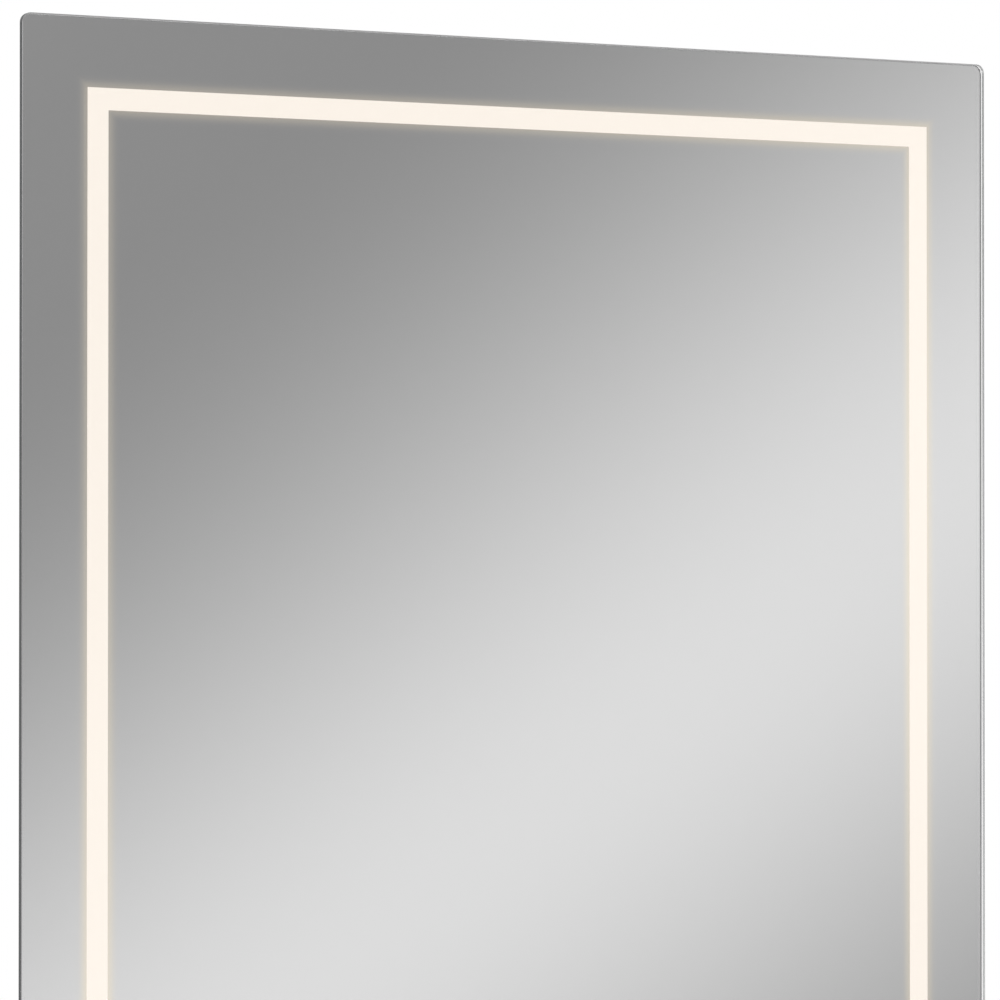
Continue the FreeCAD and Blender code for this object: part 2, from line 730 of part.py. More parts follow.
def light_strip(side):
    """Flexible circuit strip on the channel's floor with a row of emitters on it."""
    half = SIDES[side][0]
    body = side_body(f"led_strip_{side}", side)
    half_strip = f"{half} - channel_in - strip_setback"
    board = new_sketch(body, lift="strip_stand")
    draw_rectangle(board, half_strip, "strip_width / 2", up="-strip_middle")
    add_pad(body, board, "strip_thick")

    count = int(2 * measure(half_strip) // measure("led_pitch"))
    first = f"-(led_pitch * {(count - 1) / 2!r})"
    emitter = new_sketch(body, lift="strip_stand + strip_thick")
    draw_rectangle(emitter, "led_long / 2", "led_wide / 2", across=first, up="-strip_middle")
    one = add_pad(body, emitter, "led_tall")
    row = body.newObject("PartDesign::LinearPattern", "emitters")
    row.Originals = [one]
    row.Direction = (origin_of(body, "X_Axis"), [""])
    row.setExpression("Length", expand(f"led_pitch * {count - 1}"))
    row.Occurrences = count
    body.Tip = row
    doc.recompute()
    return body


def corner_outline(way_x, way_z, near, far, reach):
    """An L that turns one corner of the pane, from insets of its two edges and its reach."""
    steps = ((near, near), (reach, near), (reach, far), (far, far), (far, reach), (near, reach))
    return [
        (f"{way_x} * (glass_width / 2 - ({across}))", f"{way_z} * (glass_height / 2 - ({up}))")
        for across, up in steps
    ]


def key_screw_spots(level="0"):
    """The grub screws' places: two at each corner, one in each leg of the key."""
    heel, reach = "profile_middle", "(profile_middle + key_screw_reach)"
    return [
        (f"{x} * (glass_width / 2 - {across})", f"{level} + {z} * (glass_height / 2 - {up})")
        for x, z in CORNERS
        for across, up in ((reach, heel), (heel, reach))
    ]


def corner_keys():
    """Four L-shaped keys that lie on the floor of the profile's rear chamber."""
    body = new_body("corner_keys", stand="profile_stand - floor_back - key_thick", up="pane_middle")
    sketch = new_sketch(body)
    near = "frame_inset + frame_wall + fit_play"
    for x, z in CORNERS:
        corners = corner_outline(x, z, near, "channel_in - fit_play", f"{near} + key_leg")
        draw_polygon(sketch, corners)
    add_pad(body, sketch, "key_thick")


def corner_boards():
    """Four L-shaped circuit boards that join the light strips round the channel's corners."""
    body = new_body("corner_boards", stand="strip_stand", up="pane_middle")
    sketch = new_sketch(body)
    near, far = "strip_middle - strip_width / 2", "strip_middle + strip_width / 2"
    for x, z in CORNERS:
        corners = corner_outline(x, z, near, far, "channel_in + strip_setback - fit_play")
        draw_polygon(sketch, corners)
    add_pad(body, sketch, "strip_thick")


def key_screws():
    """Grub screws in the profile's rear web, whose tips bear on the corner keys."""
    whole = "(frame_depth - floor_back - key_thick - fit_play)"
    stages = (
        ("key_screw_radius", "0", f"{whole} - key_screw_point", ROUND_SIDE_COUNT),
        ("key_screw_tip", f"{whole} - key_screw_point", f"{whole} + fit_play / 2", ROUND_SIDE_COUNT),
    )
    fastener("corner_key_screws", stages, key_screw_spots("pane_middle"), "wall_gap + fit_play / 2")


# ---------------------------------------------------------------- the back panel


def panel_screw_spots():
    """Places of the panel screws: a row at the top and bottom, a column at each side."""
    spots = []
    rows = ("rail_drop - screw_inset", "pane_bottom + screw_inset")
    for up in rows:
        spots += [(across, up) for across in screw_places("top")]
    for way in (-1, 1):
        across = f"{way} * (glass_width / 2 - screw_inset)"
        spots += [(across, f"pane_middle + {up}") for up in screw_places("left")]
    return spots


def cover_screw_spots():
    """Places of the terminal cover's two screws."""
    return [(f"{x} * cover_screw_x", "box_level") for x in (-1, 1)]


def driver_screw_spots():
    """Places of the driver's two screws, one in each lug."""
    return [(f"{x} * driver_screw_x", "driver_level") for x in (-1, 1)]


def rivet_spots():
    """Places of the hanger rail's rivets."""
    return [(across, "rivet_level") for across in spaced("hanger_half - rivet_end", RIVET_COUNT)]


def rear_panel():
    """Sheet-steel back with two pressed beads, an opening for the terminal box and its holes."""
    body = bare_body("panel_sheet", stand="panel_stand")
    sketch = new_sketch(body)
    half_across = "glass_width / 2 - panel_edge"
    draw_rectangle(sketch, half_across, "glass_height / 2 - panel_edge", up="pane_middle")
    draw_rectangle(sketch, "box_width / 2 + fit_play", "box_height / 2 + fit_play", up="box_level")
    add_pad(body, sketch, "panel_thick")

    bead_top = "rail_drop - panel_edge - bead_end"
    bead_bottom = "pane_bottom + panel_edge + bead_end"
    ribs = new_sketch(body, lift="-bead_rise")
    hollows = new_sketch(body, lift="-bead_rise + panel_thick")
    for way in (-1, 1):
        across = f"{way} * (glass_width / 2 - profile_in - bead_side)"
        for drawing, inner in ((ribs, "0"), (hollows, "panel_thick / 2")):
            half_bead = f"(bead_width / 2 - bead_flank - {inner})"
            corners = [
                (f"{across} - {half_bead}", f"{bead_bottom} + {inner} + {half_bead}"),
                (f"{across}", f"{bead_bottom} + {inner}"),
                (f"{across} + {half_bead}", f"{bead_bottom} + {inner} + {half_bead}"),
                (f"{across} + {half_bead}", f"{bead_top} - {inner} - {half_bead}"),
                (f"{across}", f"{bead_top} - {inner}"),
                (f"{across} - {half_bead}", f"{bead_top} - {inner} - {half_bead}"),
            ]
            draw_polygon(drawing, corners)
    add_pad(body, ribs, "bead_rise", flank="bead_flank")
    add_pocket(body, hollows, "bead_rise + cut_past")

    screwed = "screw_radius + fit_play / 2"
    families = (
        (panel_screw_spots() + cover_screw_spots() + driver_screw_spots(), screwed),
        (rivet_spots(), "rivet_radius + fit_play / 4"),
        ([("stud_x", "box_level")], "stud_radius + fit_play / 4"),
    )
    drill("rear_panel", body, families, "panel_stand", "panel_thick")


def panel_gasket():
    """Foam gasket on the ledge, under the rim of the back panel."""
    sheet_piece("panel_gasket", "panel_edge", "gasket_thick", "gasket_stand", "panel_edge + gasket_width")


def pan_head(long):
    """Stages of a pan-head screw that stands its head proud of its seat."""
    return (
        ("screw_head", "-screw_head_tall", "-fit_play / 4", ROUND_SIDE_COUNT),
        ("screw_radius", "-fit_play / 4", long, ROUND_SIDE_COUNT),
    )


def screws():
    """Panel, cover and driver screws, all driven from behind."""
    through_lug = "panel_thick + driver_lug_thick + lug_screw_spare"
    fastener("rear_panel_screws", pan_head("screw_long"), panel_screw_spots(), "panel_stand")
    fastener("cover_screws", pan_head("screw_long"), cover_screw_spots(), "cover_stand")
    fastener("driver_screws", pan_head(through_lug), driver_screw_spots(), "panel_stand")


# ---------------------------------------------------------------- the rails


def rail_body(label, half, corners):
    """A rail pulled along X from a section of (stand, level) corners."""
    body = new_body(label)
    sketch = new_sketch(body, "YZ_Plane")
    draw_polygon(sketch, [(f"-({stand})", up) for stand, up in corners])
    add_pad(body, sketch, f"2 * {half}", middle=True)
    return body


def wall_rail():
    """The rail on the wall: a web with fixing holes, a shelf and a hook that points up."""
    corners = (
        ("0", "-rail_below"),
        ("rail_thick", "-rail_below"),
        ("rail_thick", "shelf_top - rail_thick"),
        ("hook_out", "shelf_top - rail_thick"),
        ("hook_out", "hook_top - hook_chamfer"),
        ("hook_out - hook_chamfer", "hook_top"),
        ("hook_slot + hook_chamfer", "hook_top"),
        ("hook_slot", "hook_top - hook_chamfer"),
        ("hook_slot", "shelf_top"),
        ("0", "shelf_top"),
    )
    body = rail_body("wall_rail", "rail_half", corners)
    drilled = new_sketch(body, lift="-cut_past")
    for way in (-1, 1):
        draw_circle(drilled, f"{way} * (rail_half - fixing_end)", "0", "fixing_radius")
        draw_slot(
            drilled, f"{way} * (rail_half - slot_end)", "0", "slot_long / 2 - fixing_radius",
            "fixing_radius",
        )
    add_pocket(body, drilled, "rail_thick + 2 * cut_past")


def hanger_rail():
    """The rail on the mirror: a riveted web, a shelf and a lip that drops behind the wall hook."""
    lip_end = "hook_top - hook_bite"
    corners = (
        ("panel_stand", "seat_level"),
        ("panel_stand", "hanger_top"),
        ("panel_stand - rail_thick", "hanger_top"),
        ("panel_stand - rail_thick", "seat_level + rail_thick"),
        ("lip_out - rail_thick", "seat_level + rail_thick"),
        ("lip_out - rail_thick", f"{lip_end} + hook_chamfer"),
        ("lip_out - rail_thick + hook_chamfer", lip_end),
        ("lip_out - hook_chamfer", lip_end),
        ("lip_out", f"{lip_end} + hook_chamfer"),
        ("lip_out", "seat_level"),
    )
    body = rail_body("hanger_rail", "hanger_half", corners)
    drilled = new_sketch(body, lift="panel_stand - rail_thick - cut_past")
    for across, up in rivet_spots():
        draw_hole(drilled, across, up, "rivet_radius + fit_play / 4")
    add_pocket(body, drilled, "rail_thick + 2 * cut_past")


def hanger_rivets():
    """Blind rivets through the hanger rail and the panel, with their set tails inside."""
    stack_end = "rail_thick + panel_thick + fit_play / 4"
    stages = (
        ("rivet_head", "-rivet_head_tall", "-fit_play / 4", ROUND_SIDE_COUNT),
        ("rivet_radius", "-fit_play / 4", stack_end, ROUND_SIDE_COUNT),
        ("rivet_radius + rivet_spread", stack_end, f"{stack_end} + rivet_tail", ROUND_SIDE_COUNT),
    )
    fastener("hanger_rivets", stages, rivet_spots(), "panel_stand - rail_thick")


# ---------------------------------------------------------------- the electrical pieces


def rounded_block(body, half_across, half_up, depth, lift, corner):
    """A padded rectangle with rounded upright corners."""
    sketch = new_sketch(body, lift=lift)
    draw_rectangle(sketch, half_across, half_up)
    feature = add_pad(body, sketch, depth)
    chosen = upright_edges(feature, half_across)
    return add_fillet(body, feature, chosen, corner)


def terminal_box():
    """Moulded tub through the panel's opening, with a flange that lies on the panel's back."""
    body = new_body("terminal_box", stand="flange_stand", up="box_level")
    flange_x, flange_z = "box_width / 2 + box_flange", "box_height / 2 + box_flange"
    rounded_block(body, flange_x, flange_z, "box_flange_thick", "0", "box_round")
    tub = new_sketch(body, lift="box_flange_thick")
    draw_rectangle(tub, "box_width / 2", "box_height / 2")
    add_pad(body, tub, "box_depth")
    hollow = new_sketch(body, lift="-cut_past")
    draw_rectangle(hollow, "box_width / 2 - box_wall", "box_height / 2 - box_wall")
    add_pocket(body, hollow, "cut_past + box_flange_thick + box_depth - box_wall")
    drilled = new_sketch(body, lift="-cut_past")
    for x in (-1, 1):
        draw_hole(drilled, f"{x} * cover_screw_x", "0", "screw_radius + fit_play / 2")
    add_pocket(body, drilled, "box_flange_thick + 2 * cut_past")
    for way, radius in ((-1, "mains_radius"), (1, "earth_radius")):
        entry = new_sketch(body, "YZ_Plane", lift=f"{way} * (box_width / 2 + cut_past)")
        draw_hole(entry, "flange_stand - lead_stand", "0", f"{radius} + fit_play")
        add_pocket(body, entry, "box_wall + 2 * cut_past", along_normal=way < 0)


def terminal_cover():
    """Cover plate over the terminal box, with the hole that holds the cable grommet."""
    body = new_body("terminal_cover", stand="cover_stand", up="box_level")
    half_across, half_up = "box_width / 2 + box_flange", "box_height / 2 + box_flange"
    plate = rounded_block(body, half_across, half_up, "cover_thick", "0", "box_round")
    rim = edges_where(
        plate, lambda edge: abs(edge.BoundBox.YMax) < TINY and edge.BoundBox.YLength < TINY
    )
    add_chamfer(body, plate, rim, "cover_thick / 2")
    drilled = new_sketch(body, lift="-cut_past")
    draw_circle(drilled, "0", "0", "grommet_neck + fit_play")
    for x in (-1, 1):
        draw_hole(drilled, f"{x} * cover_screw_x", "0", "screw_radius + fit_play / 2")
    add_pocket(body, drilled, "cover_thick + 2 * cut_past")


def cable_grommet():
    """Rubber grommet in the cover, through which the supply cable comes in from the wall."""
    stages = (
        ("grommet_rim", "-grommet_lip", "0", GROMMET_SIDE_COUNT),
        ("grommet_neck", "0", "cover_thick", GROMMET_SIDE_COUNT),
        ("grommet_neck + grommet_barb", "cover_thick", "cover_thick + grommet_lip", GROMMET_SIDE_COUNT),
    )
    bore = doc.addObject("Part::Cylinder", "grommet_bore")
    bore.setExpression("Radius", expand("grommet_bore"))
    bore.setExpression("Height", expand("cover_thick + 2 * (grommet_lip + cut_past)"))
    start = "cover_stand - grommet_lip - cut_past"
    place(bore, stand=start, up="box_level", axis=Vector(1, 0, 0), turn=90)
    grommet = doc.addObject("Part::Cut", "cable_grommet")
    grommet.Base = stepped_pins("grommet_body", stages, [("0", "box_level")], "cover_stand")
    grommet.Tool = bore
    keep(grommet, "cable_grommet")


def terminal_block():
    """Three-pole block on the floor of the box, with a well over each clamp."""
    body = new_body("terminal_block", stand="box_floor - block_depth", up="box_level")
    sketch = new_sketch(body)
    draw_rectangle(sketch, "block_width / 2", "block_height / 2")
    add_pad(body, sketch, "block_depth")
    wells = new_sketch(body, lift="-cut_past")
    for pole in (-1, 0, 1):
        draw_rectangle(wells, "well_half", "block_height / 2 - block_wall", across=f"{pole} * block_pitch")
    add_pocket(body, wells, "block_depth / 2 + cut_past")


def led_driver():
    """Flat driver case on the inside of the panel, with a drilled lug at each end."""
    body = new_body("led_driver", stand="panel_stand + panel_thick", up="driver_level")
    lugs = new_sketch(body)
    draw_rectangle(lugs, "driver_width / 2 + driver_lug", "driver_height / 2")
    for x in (-1, 1):
        draw_hole(lugs, f"{x} * driver_screw_x", "0", "screw_radius + fit_play / 2")
    add_pad(body, lugs, "driver_lug_thick")
    case = new_sketch(body)
    draw_rectangle(case, "driver_width / 2", "driver_height / 2")
    whole = add_pad(body, case, "driver_depth")
    front = measure("driver_depth")
    rim = edges_where(
        whole, lambda edge: abs(edge.BoundBox.YMin + front) < TINY and edge.BoundBox.YLength < TINY
    )
    add_chamfer(body, whole, rim, "driver_bevel")


def earth_stud():
    """Press-in stud for the panel's earth, with the lead's ring and a nut on it."""
    stages = (
        ("stud_radius", "-panel_thick", "stud_long", ROUND_SIDE_COUNT),
        ("nut_radius", "0", "earth_radius * 2", ROUND_SIDE_COUNT),
        ("nut_radius", "earth_radius * 2", "earth_radius * 2 + nut_tall", NUT_SIDE_COUNT),
    )
    fastener("earth_stud", stages, [("stud_x", "box_level")], "panel_stand + panel_thick")


# ---------------------------------------------------------------- the leads inside


def arc_radii(points, limits):
    """Radius at each inner point: as large as its two runs allow, or its own limit if less."""
    radii = []
    for i in range(1, len(points) - 1):
        before = points[i] - points[i - 1]
        after = points[i + 1] - points[i]
        shorter = min(before.Length, after.Length)
        largest = RUN_SHARE * shorter / math.tan(before.getAngle(after) / 2)
        radii.append(min(largest, limits[i - 1]))
    return radii


def lead_section(start, towards, radius):
    """A ring of straight lines square to the route at its start."""
    along = (towards - start).normalize()
    side = along.cross(Vector(0, 0, 1)).normalize()
    other = along.cross(side)
    corners = []
    for k in range(LEAD_SIDE_COUNT + 1):
        angle = 2 * math.pi * (k + 0.5) / LEAD_SIDE_COUNT
        corners.append(start + side * (radius * math.cos(angle)) + other * (radius * math.sin(angle)))
    return Part.makePolygon(corners)


def lead(label, route, radius, limits):
    """A lead along straight runs joined by tangent arcs, as one swept solid of eight sides."""
    points = [Vector(measure(x), -measure(stand), measure(z)) for x, stand, z in route]
    radii = arc_radii(points, [measure(limit) for limit in limits])
    edges, start = [], points[0]
    for i, bend in enumerate(radii, start=1):
        into = (points[i] - points[i - 1]).normalize()
        out = (points[i + 1] - points[i]).normalize()
        half_turn = into.getAngle(out) / 2
        trim = bend * math.tan(half_turn)
        enter, leave = points[i] - into * trim, points[i] + out * trim
        inward = (out - into).normalize()
        crown = points[i] + inward * (bend / math.cos(half_turn) - bend)
        edges.append(Part.LineSegment(start, enter).toShape())
        edges.append(Part.Arc(enter, crown, leave).toShape())
        start = leave
    edges.append(Part.LineSegment(start, points[-1]).toShape())
    path = Part.Wire(edges)
    section = lead_section(points[0], points[1], measure(radius))
    solid = path.makePipeShell([section], True, False)
    expected = Part.Face(section).Area * path.Length
    if abs(solid.Volume / expected - 1) > VOLUME_SLACK:
        raise ValueError(f"{label}: volume {solid.Volume:.1f}, section times length {expected:.1f}")
    print(f"{label}: length {path.Length:.1f}, radii", [round(bend, 1) for bend in radii])
    item = doc.addObject("Part::Feature", label)
    item.Shape = solid
    return keep(item, label)


def leads():
    """The mains lead, the low-voltage lead and the earth lead."""
    mains_route = (
        ("-(block_width / 2 + fit_play)", "lead_stand", "box_level"),
        ("-mains_x", "lead_stand", "box_level"),
        ("-mains_x", "lead_stand", "driver_level"),
        ("-driver_width / 2", "lead_stand", "driver_level"),
    )
    lead("mains_lead", mains_route, "mains_radius", ("mains_bow", "mains_bow"))
    feed_route = (
        ("driver_width / 2", "lead_stand", "driver_level"),
        ("feed_x", "lead_stand", "driver_level"),
        ("feed_x", "lead_stand", "feed_level"),
        ("glass_width / 2 - strip_middle", "lead_stand", "feed_level"),
    )
    lead("led_lead", feed_route, "feed_radius", ("feed_side * 3", "feed_side"))
    ring_stand = "panel_stand + panel_thick + earth_radius + fit_play / 4"
    earth_route = (
        ("block_width / 2 + fit_play", "lead_stand", "box_level"),
        ("box_width / 2 + earth_out / 4", "lead_stand", "box_level"),
        ("stud_x - earth_out / 3", ring_stand, "box_level"),
        ("stud_x - nut_radius - fit_play / 4", ring_stand, "box_level"),
    )
    lead("earth_lead", earth_route, "earth_radius", ("earth_out", "earth_out"))


def cable_clips():
    """Open saddles on the panel that hold the upright runs of both leads."""
    body = new_body("cable_clips")
    run_top = "(feed_level - feed_side * 2)"
    run_bottom = "(driver_level + feed_side * 4)"
    levels = [
        f"({run_bottom} + ({run_top} - {run_bottom}) * {k / (CLIP_COUNT - 1)!r})"
        for k in range(CLIP_COUNT)
    ]
    clips = [("feed_x", level, "feed_radius") for level in levels]
    clips.append(("-mains_x", "(box_level + driver_level) / 2", "mains_radius"))
    foot = "-(panel_stand + panel_thick)"
    for across, level, radius in clips:
        sketch = new_sketch(body, "XY_Plane", lift=f"{level} - clip_long / 2")
        half_gap = f"({radius} + fit_play / 2)"
        shoulder = f"({radius} + clip_wall)"
        bed = f"-lead_stand + {half_gap}"
        tips = f"-lead_stand - {radius}"
        corners = [
            (f"{across} - clip_width / 2", foot),
            (f"{across} + clip_width / 2", foot),
            (f"{across} + {shoulder}", tips),
            (f"{across} + {half_gap}", tips),
            (f"{across} + {half_gap}", bed),
            (f"{across} - {half_gap}", bed),
            (f"{across} - {half_gap}", tips),
            (f"{across} - {shoulder}", tips),
        ]
        draw_polygon(sketch, corners)
        add_pad(body, sketch, "clip_long")


def wall_bumpers():
    """Two soft bumpers behind the bottom profile that keep the mirror parallel to the wall."""
    body = new_body("wall_bumpers")
    sketch = new_sketch(body)
    for way in (-1, 1):
        across = f"{way} * (glass_width / 2 - profile_in - bumper_end)"
        draw_circle(sketch, across, "pane_bottom + profile_middle", "bumper_radius")
    add_pad(body, sketch, "wall_gap")


# ---------------------------------------------------------------- the whole mirror


def build_all():
    """Make every sub-part of the mirror."""
    wall_rail()
    mirror_glass()
    coatings()
    bonding_tapes()
    for side in SIDES:
        frame_profile(side)
        diffuser(side)
        light_strip(side)
    corner_keys()
    corner_boards()
    key_screws()
    rear_panel()
    panel_gasket()
    hanger_rail()
    hanger_rivets()
    terminal_box()
    terminal_cover()
    cable_grommet()
    terminal_block()
    led_driver()
    earth_stud()
    leads()
    cable_clips()
    wall_bumpers()
    screws()


def check_and_write():
    """Stop if anything failed to build, then write one STEP file for each sub-part."""
    doc.recompute()
    for item in doc.Objects:
        if "Invalid" in item.State or "Error" in item.State:
            raise ValueError(f"{item.Label} ({item.Name}) failed: {item.State}")
    for piece in pieces:
        if piece.Shape.isNull() or not piece.Shape.isValid() or not piece.Shape.Solids:
            raise ValueError(f"{piece.Label} is not a valid solid")
    os.makedirs("parts", exist_ok=True)
    for piece in pieces:
        piece.Shape.exportStep(f"parts/{piece.Label}.step")
    print(f"{len(pieces)} sub-parts written")


build_all()
check_and_write()
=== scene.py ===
"""Lighted bathroom mirror, dressed.

A float glass pane with a lit band let into its silvering, on a set-back frame of anodised
profile that is closed by a powder-coated back panel and hangs on a hooked wall rail. Every
length is in metres unless a comment says otherwise; the wall is the plane Y = 0, the pane
faces -Y and +Z is up.
"""

import logging
import math
from dataclasses import dataclass, field
from enum import Enum
from typing import ClassVar

import bpy
import numpy as np
from mathutils import Euler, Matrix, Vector


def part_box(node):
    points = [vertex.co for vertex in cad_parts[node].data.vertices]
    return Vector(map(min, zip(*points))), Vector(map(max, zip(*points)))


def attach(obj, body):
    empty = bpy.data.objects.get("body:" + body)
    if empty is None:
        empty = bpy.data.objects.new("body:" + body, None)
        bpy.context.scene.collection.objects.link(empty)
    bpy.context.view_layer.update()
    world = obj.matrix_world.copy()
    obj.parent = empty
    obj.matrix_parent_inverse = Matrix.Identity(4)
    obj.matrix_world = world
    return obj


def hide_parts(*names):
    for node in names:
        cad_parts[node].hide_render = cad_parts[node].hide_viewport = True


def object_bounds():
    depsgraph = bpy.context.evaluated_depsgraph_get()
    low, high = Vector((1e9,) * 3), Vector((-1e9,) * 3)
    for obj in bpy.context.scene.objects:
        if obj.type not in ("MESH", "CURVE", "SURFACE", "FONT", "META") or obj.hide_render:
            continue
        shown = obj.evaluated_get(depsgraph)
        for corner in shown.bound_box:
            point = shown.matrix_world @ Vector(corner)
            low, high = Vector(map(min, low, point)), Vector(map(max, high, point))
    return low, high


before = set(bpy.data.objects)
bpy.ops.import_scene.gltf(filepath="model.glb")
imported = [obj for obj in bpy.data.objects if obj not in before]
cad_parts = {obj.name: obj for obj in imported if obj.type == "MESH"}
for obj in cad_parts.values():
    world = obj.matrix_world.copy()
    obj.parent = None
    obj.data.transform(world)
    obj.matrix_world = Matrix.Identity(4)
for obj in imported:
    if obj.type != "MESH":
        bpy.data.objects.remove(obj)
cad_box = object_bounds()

MM = 0.001
log = logging.getLogger("mirror")
MADE: dict[str, bpy.types.Material] = {}

Colour = tuple[float, float, float, float]
Triple = tuple[float, float, float]


def linear(code: str) -> Colour:
    """Turn an sRGB hex colour into linear light, by the curve of the sRGB standard.

    Args:
        code: six hex digits after a #.

    Returns:
        Red, green, blue and an alpha of 1, for a shader's socket.
    """
    parts = np.array([int(code[i : i + 2], 16) for i in (1, 3, 5)]) / 255
    light = np.where(parts <= 0.04045, parts / 12.92, ((parts + 0.055) / 1.055) ** 2.4)
    return (*light.tolist(), 1.0)


def add(
    tree: bpy.types.NodeTree,
    kind: str,
    inputs: dict[str | int, object] | None = None,
    **settings: object,
) -> bpy.types.Node:
    """Add one shader node.

    Args:
        tree: the material's or world's nodes.
        kind: the node's type, without its ShaderNode prefix.
        inputs: for a socket's name or number, its value or the output that feeds it.
        settings: the node's own properties.

    Returns:
        The new node.
    """
    made = tree.nodes.new("ShaderNode" + kind)
    for name, value in settings.items():
        setattr(made, name, value)
    for socket, value in (inputs or {}).items():
        if isinstance(value, bpy.types.NodeSocket):
            tree.links.new(value, made.inputs[socket])
        else:
            made.inputs[socket].default_value = value
    return made


# ---------------------------------------------------------------- finishes

# how wide a noise's blotch is, in cells of the noise
BLOTCH = 0.5
# share that each finer octave of a noise keeps
OCTAVE = 0.55
# a noise hardly ever leaves these values, so they are stretched to a full range of a
# value or of a colour's tones
VALUES = (0.3, 0.7)
TONES = (0.32, 0.68)
# radians that a wave texture of scale 1 turns through in a metre
WAVE = 20
# share of a die line's frequency that is left along the bar
DRAWN_OUT = 0.006


class Along(Enum):
    """The way in which a profile was pulled through its die, as what its pattern's
    frequency keeps along X, Y and Z."""

    LEVEL = (DRAWN_OUT, 1.0, 1.0)
    UPRIGHT = (1.0, 1.0, DRAWN_OUT)


@dataclass(frozen=True)
class Finish:
    """A surface with its plain values. Each kind of surface adds its own pattern."""

    name: str
    colour: str
    roughness: float
    metallic: float = 0.0
    ior: float = 1.5

    def material(self) -> bpy.types.Material:
        """Make the material, or give the one that was made before.

        Returns:
            The one material of this finish.
        """
        if self.name in MADE:
            return MADE[self.name]
        made = MADE[self.name] = bpy.data.materials.new(self.name)
        made.use_nodes = True
        tree = made.node_tree
        shader = tree.nodes["Principled BSDF"]
        shader.inputs["Base Color"].default_value = linear(self.colour)
        shader.inputs["Roughness"].default_value = self.roughness
        shader.inputs["Metallic"].default_value = self.metallic
        if not self.metallic:
            shader.inputs["IOR"].default_value = self.ior
        self.pattern(tree, shader)
        return made

    def pattern(self, tree: bpy.types.NodeTree, shader: bpy.types.Node) -> None:
        """Add what the surface shows beyond its plain values."""

    def noise(
        self,
        tree: bpy.types.NodeTree,
        grain: float,
        stretch: Triple = (1, 1, 1),
        detail: int = 2,
    ) -> bpy.types.NodeSocket:
        """Noise in the object's own coordinates.

        Args:
            tree: the material's nodes.
            grain: size of one blotch.
            stretch: share of the frequency kept along each axis.
            detail: octaves of the noise.

        Returns:
            The noise's value, about 0.5.
        """
        spot = add(tree, "TexCoord").outputs["Object"]
        scaled = add(tree, "Mapping", {"Vector": spot, "Scale": stretch}).outputs[0]
        kept = {"Scale": BLOTCH / grain, "Detail": detail, "Roughness": OCTAVE}
        return add(tree, "TexNoise", {"Vector": scaled, **kept}).outputs["Fac"]

    def tint(
        self,
        tree: bpy.types.NodeTree,
        shader: bpy.types.Node,
        fac: bpy.types.NodeSocket,
        light: str,
    ) -> None:
        """Let a noise drift the base colour.

        Args:
            tree: the material's nodes.
            shader: the material's shader.
            fac: the noise, which gives the plain colour at its low end.
            light: hex colour at its high end.
        """
        ramp = add(tree, "ValToRGB", {"Fac": fac})
        ends = zip(ramp.color_ramp.elements, TONES, (self.colour, light))
        for end, place, tone in ends:
            end.position, end.color = place, linear(tone)
        tree.links.new(ramp.outputs["Color"], shader.inputs["Base Color"])

    def span(
        self, tree: bpy.types.NodeTree, fac: bpy.types.NodeSocket, low: float, high: float
    ) -> bpy.types.NodeSocket:
        """Carry a noise to a range of values."""
        ends = {"From Min": VALUES[0], "From Max": VALUES[1], "To Min": low, "To Max": high}
        return add(tree, "MapRange", {"Value": fac, **ends}).outputs["Result"]

    def gloss(
        self,
        tree: bpy.types.NodeTree,
        shader: bpy.types.Node,
        fac: bpy.types.NodeSocket,
        spread: float,
    ) -> None:
        """Let a noise drift the roughness by a spread to either side of its plain value."""
        level = self.span(tree, fac, self.roughness - spread, self.roughness + spread)
        tree.links.new(level, shader.inputs["Roughness"])

    def bump(
        self,
        tree: bpy.types.NodeTree,
        shader: bpy.types.Node,
        height: bpy.types.NodeSocket,
        depth: float,
    ) -> None:
        """Raise the surface by a height pattern, whose full range is a given depth."""
        made = add(tree, "Bump", {"Height": height, "Distance": depth, "Strength": 1.0})
        tree.links.new(made.outputs["Normal"], shader.inputs["Normal"])


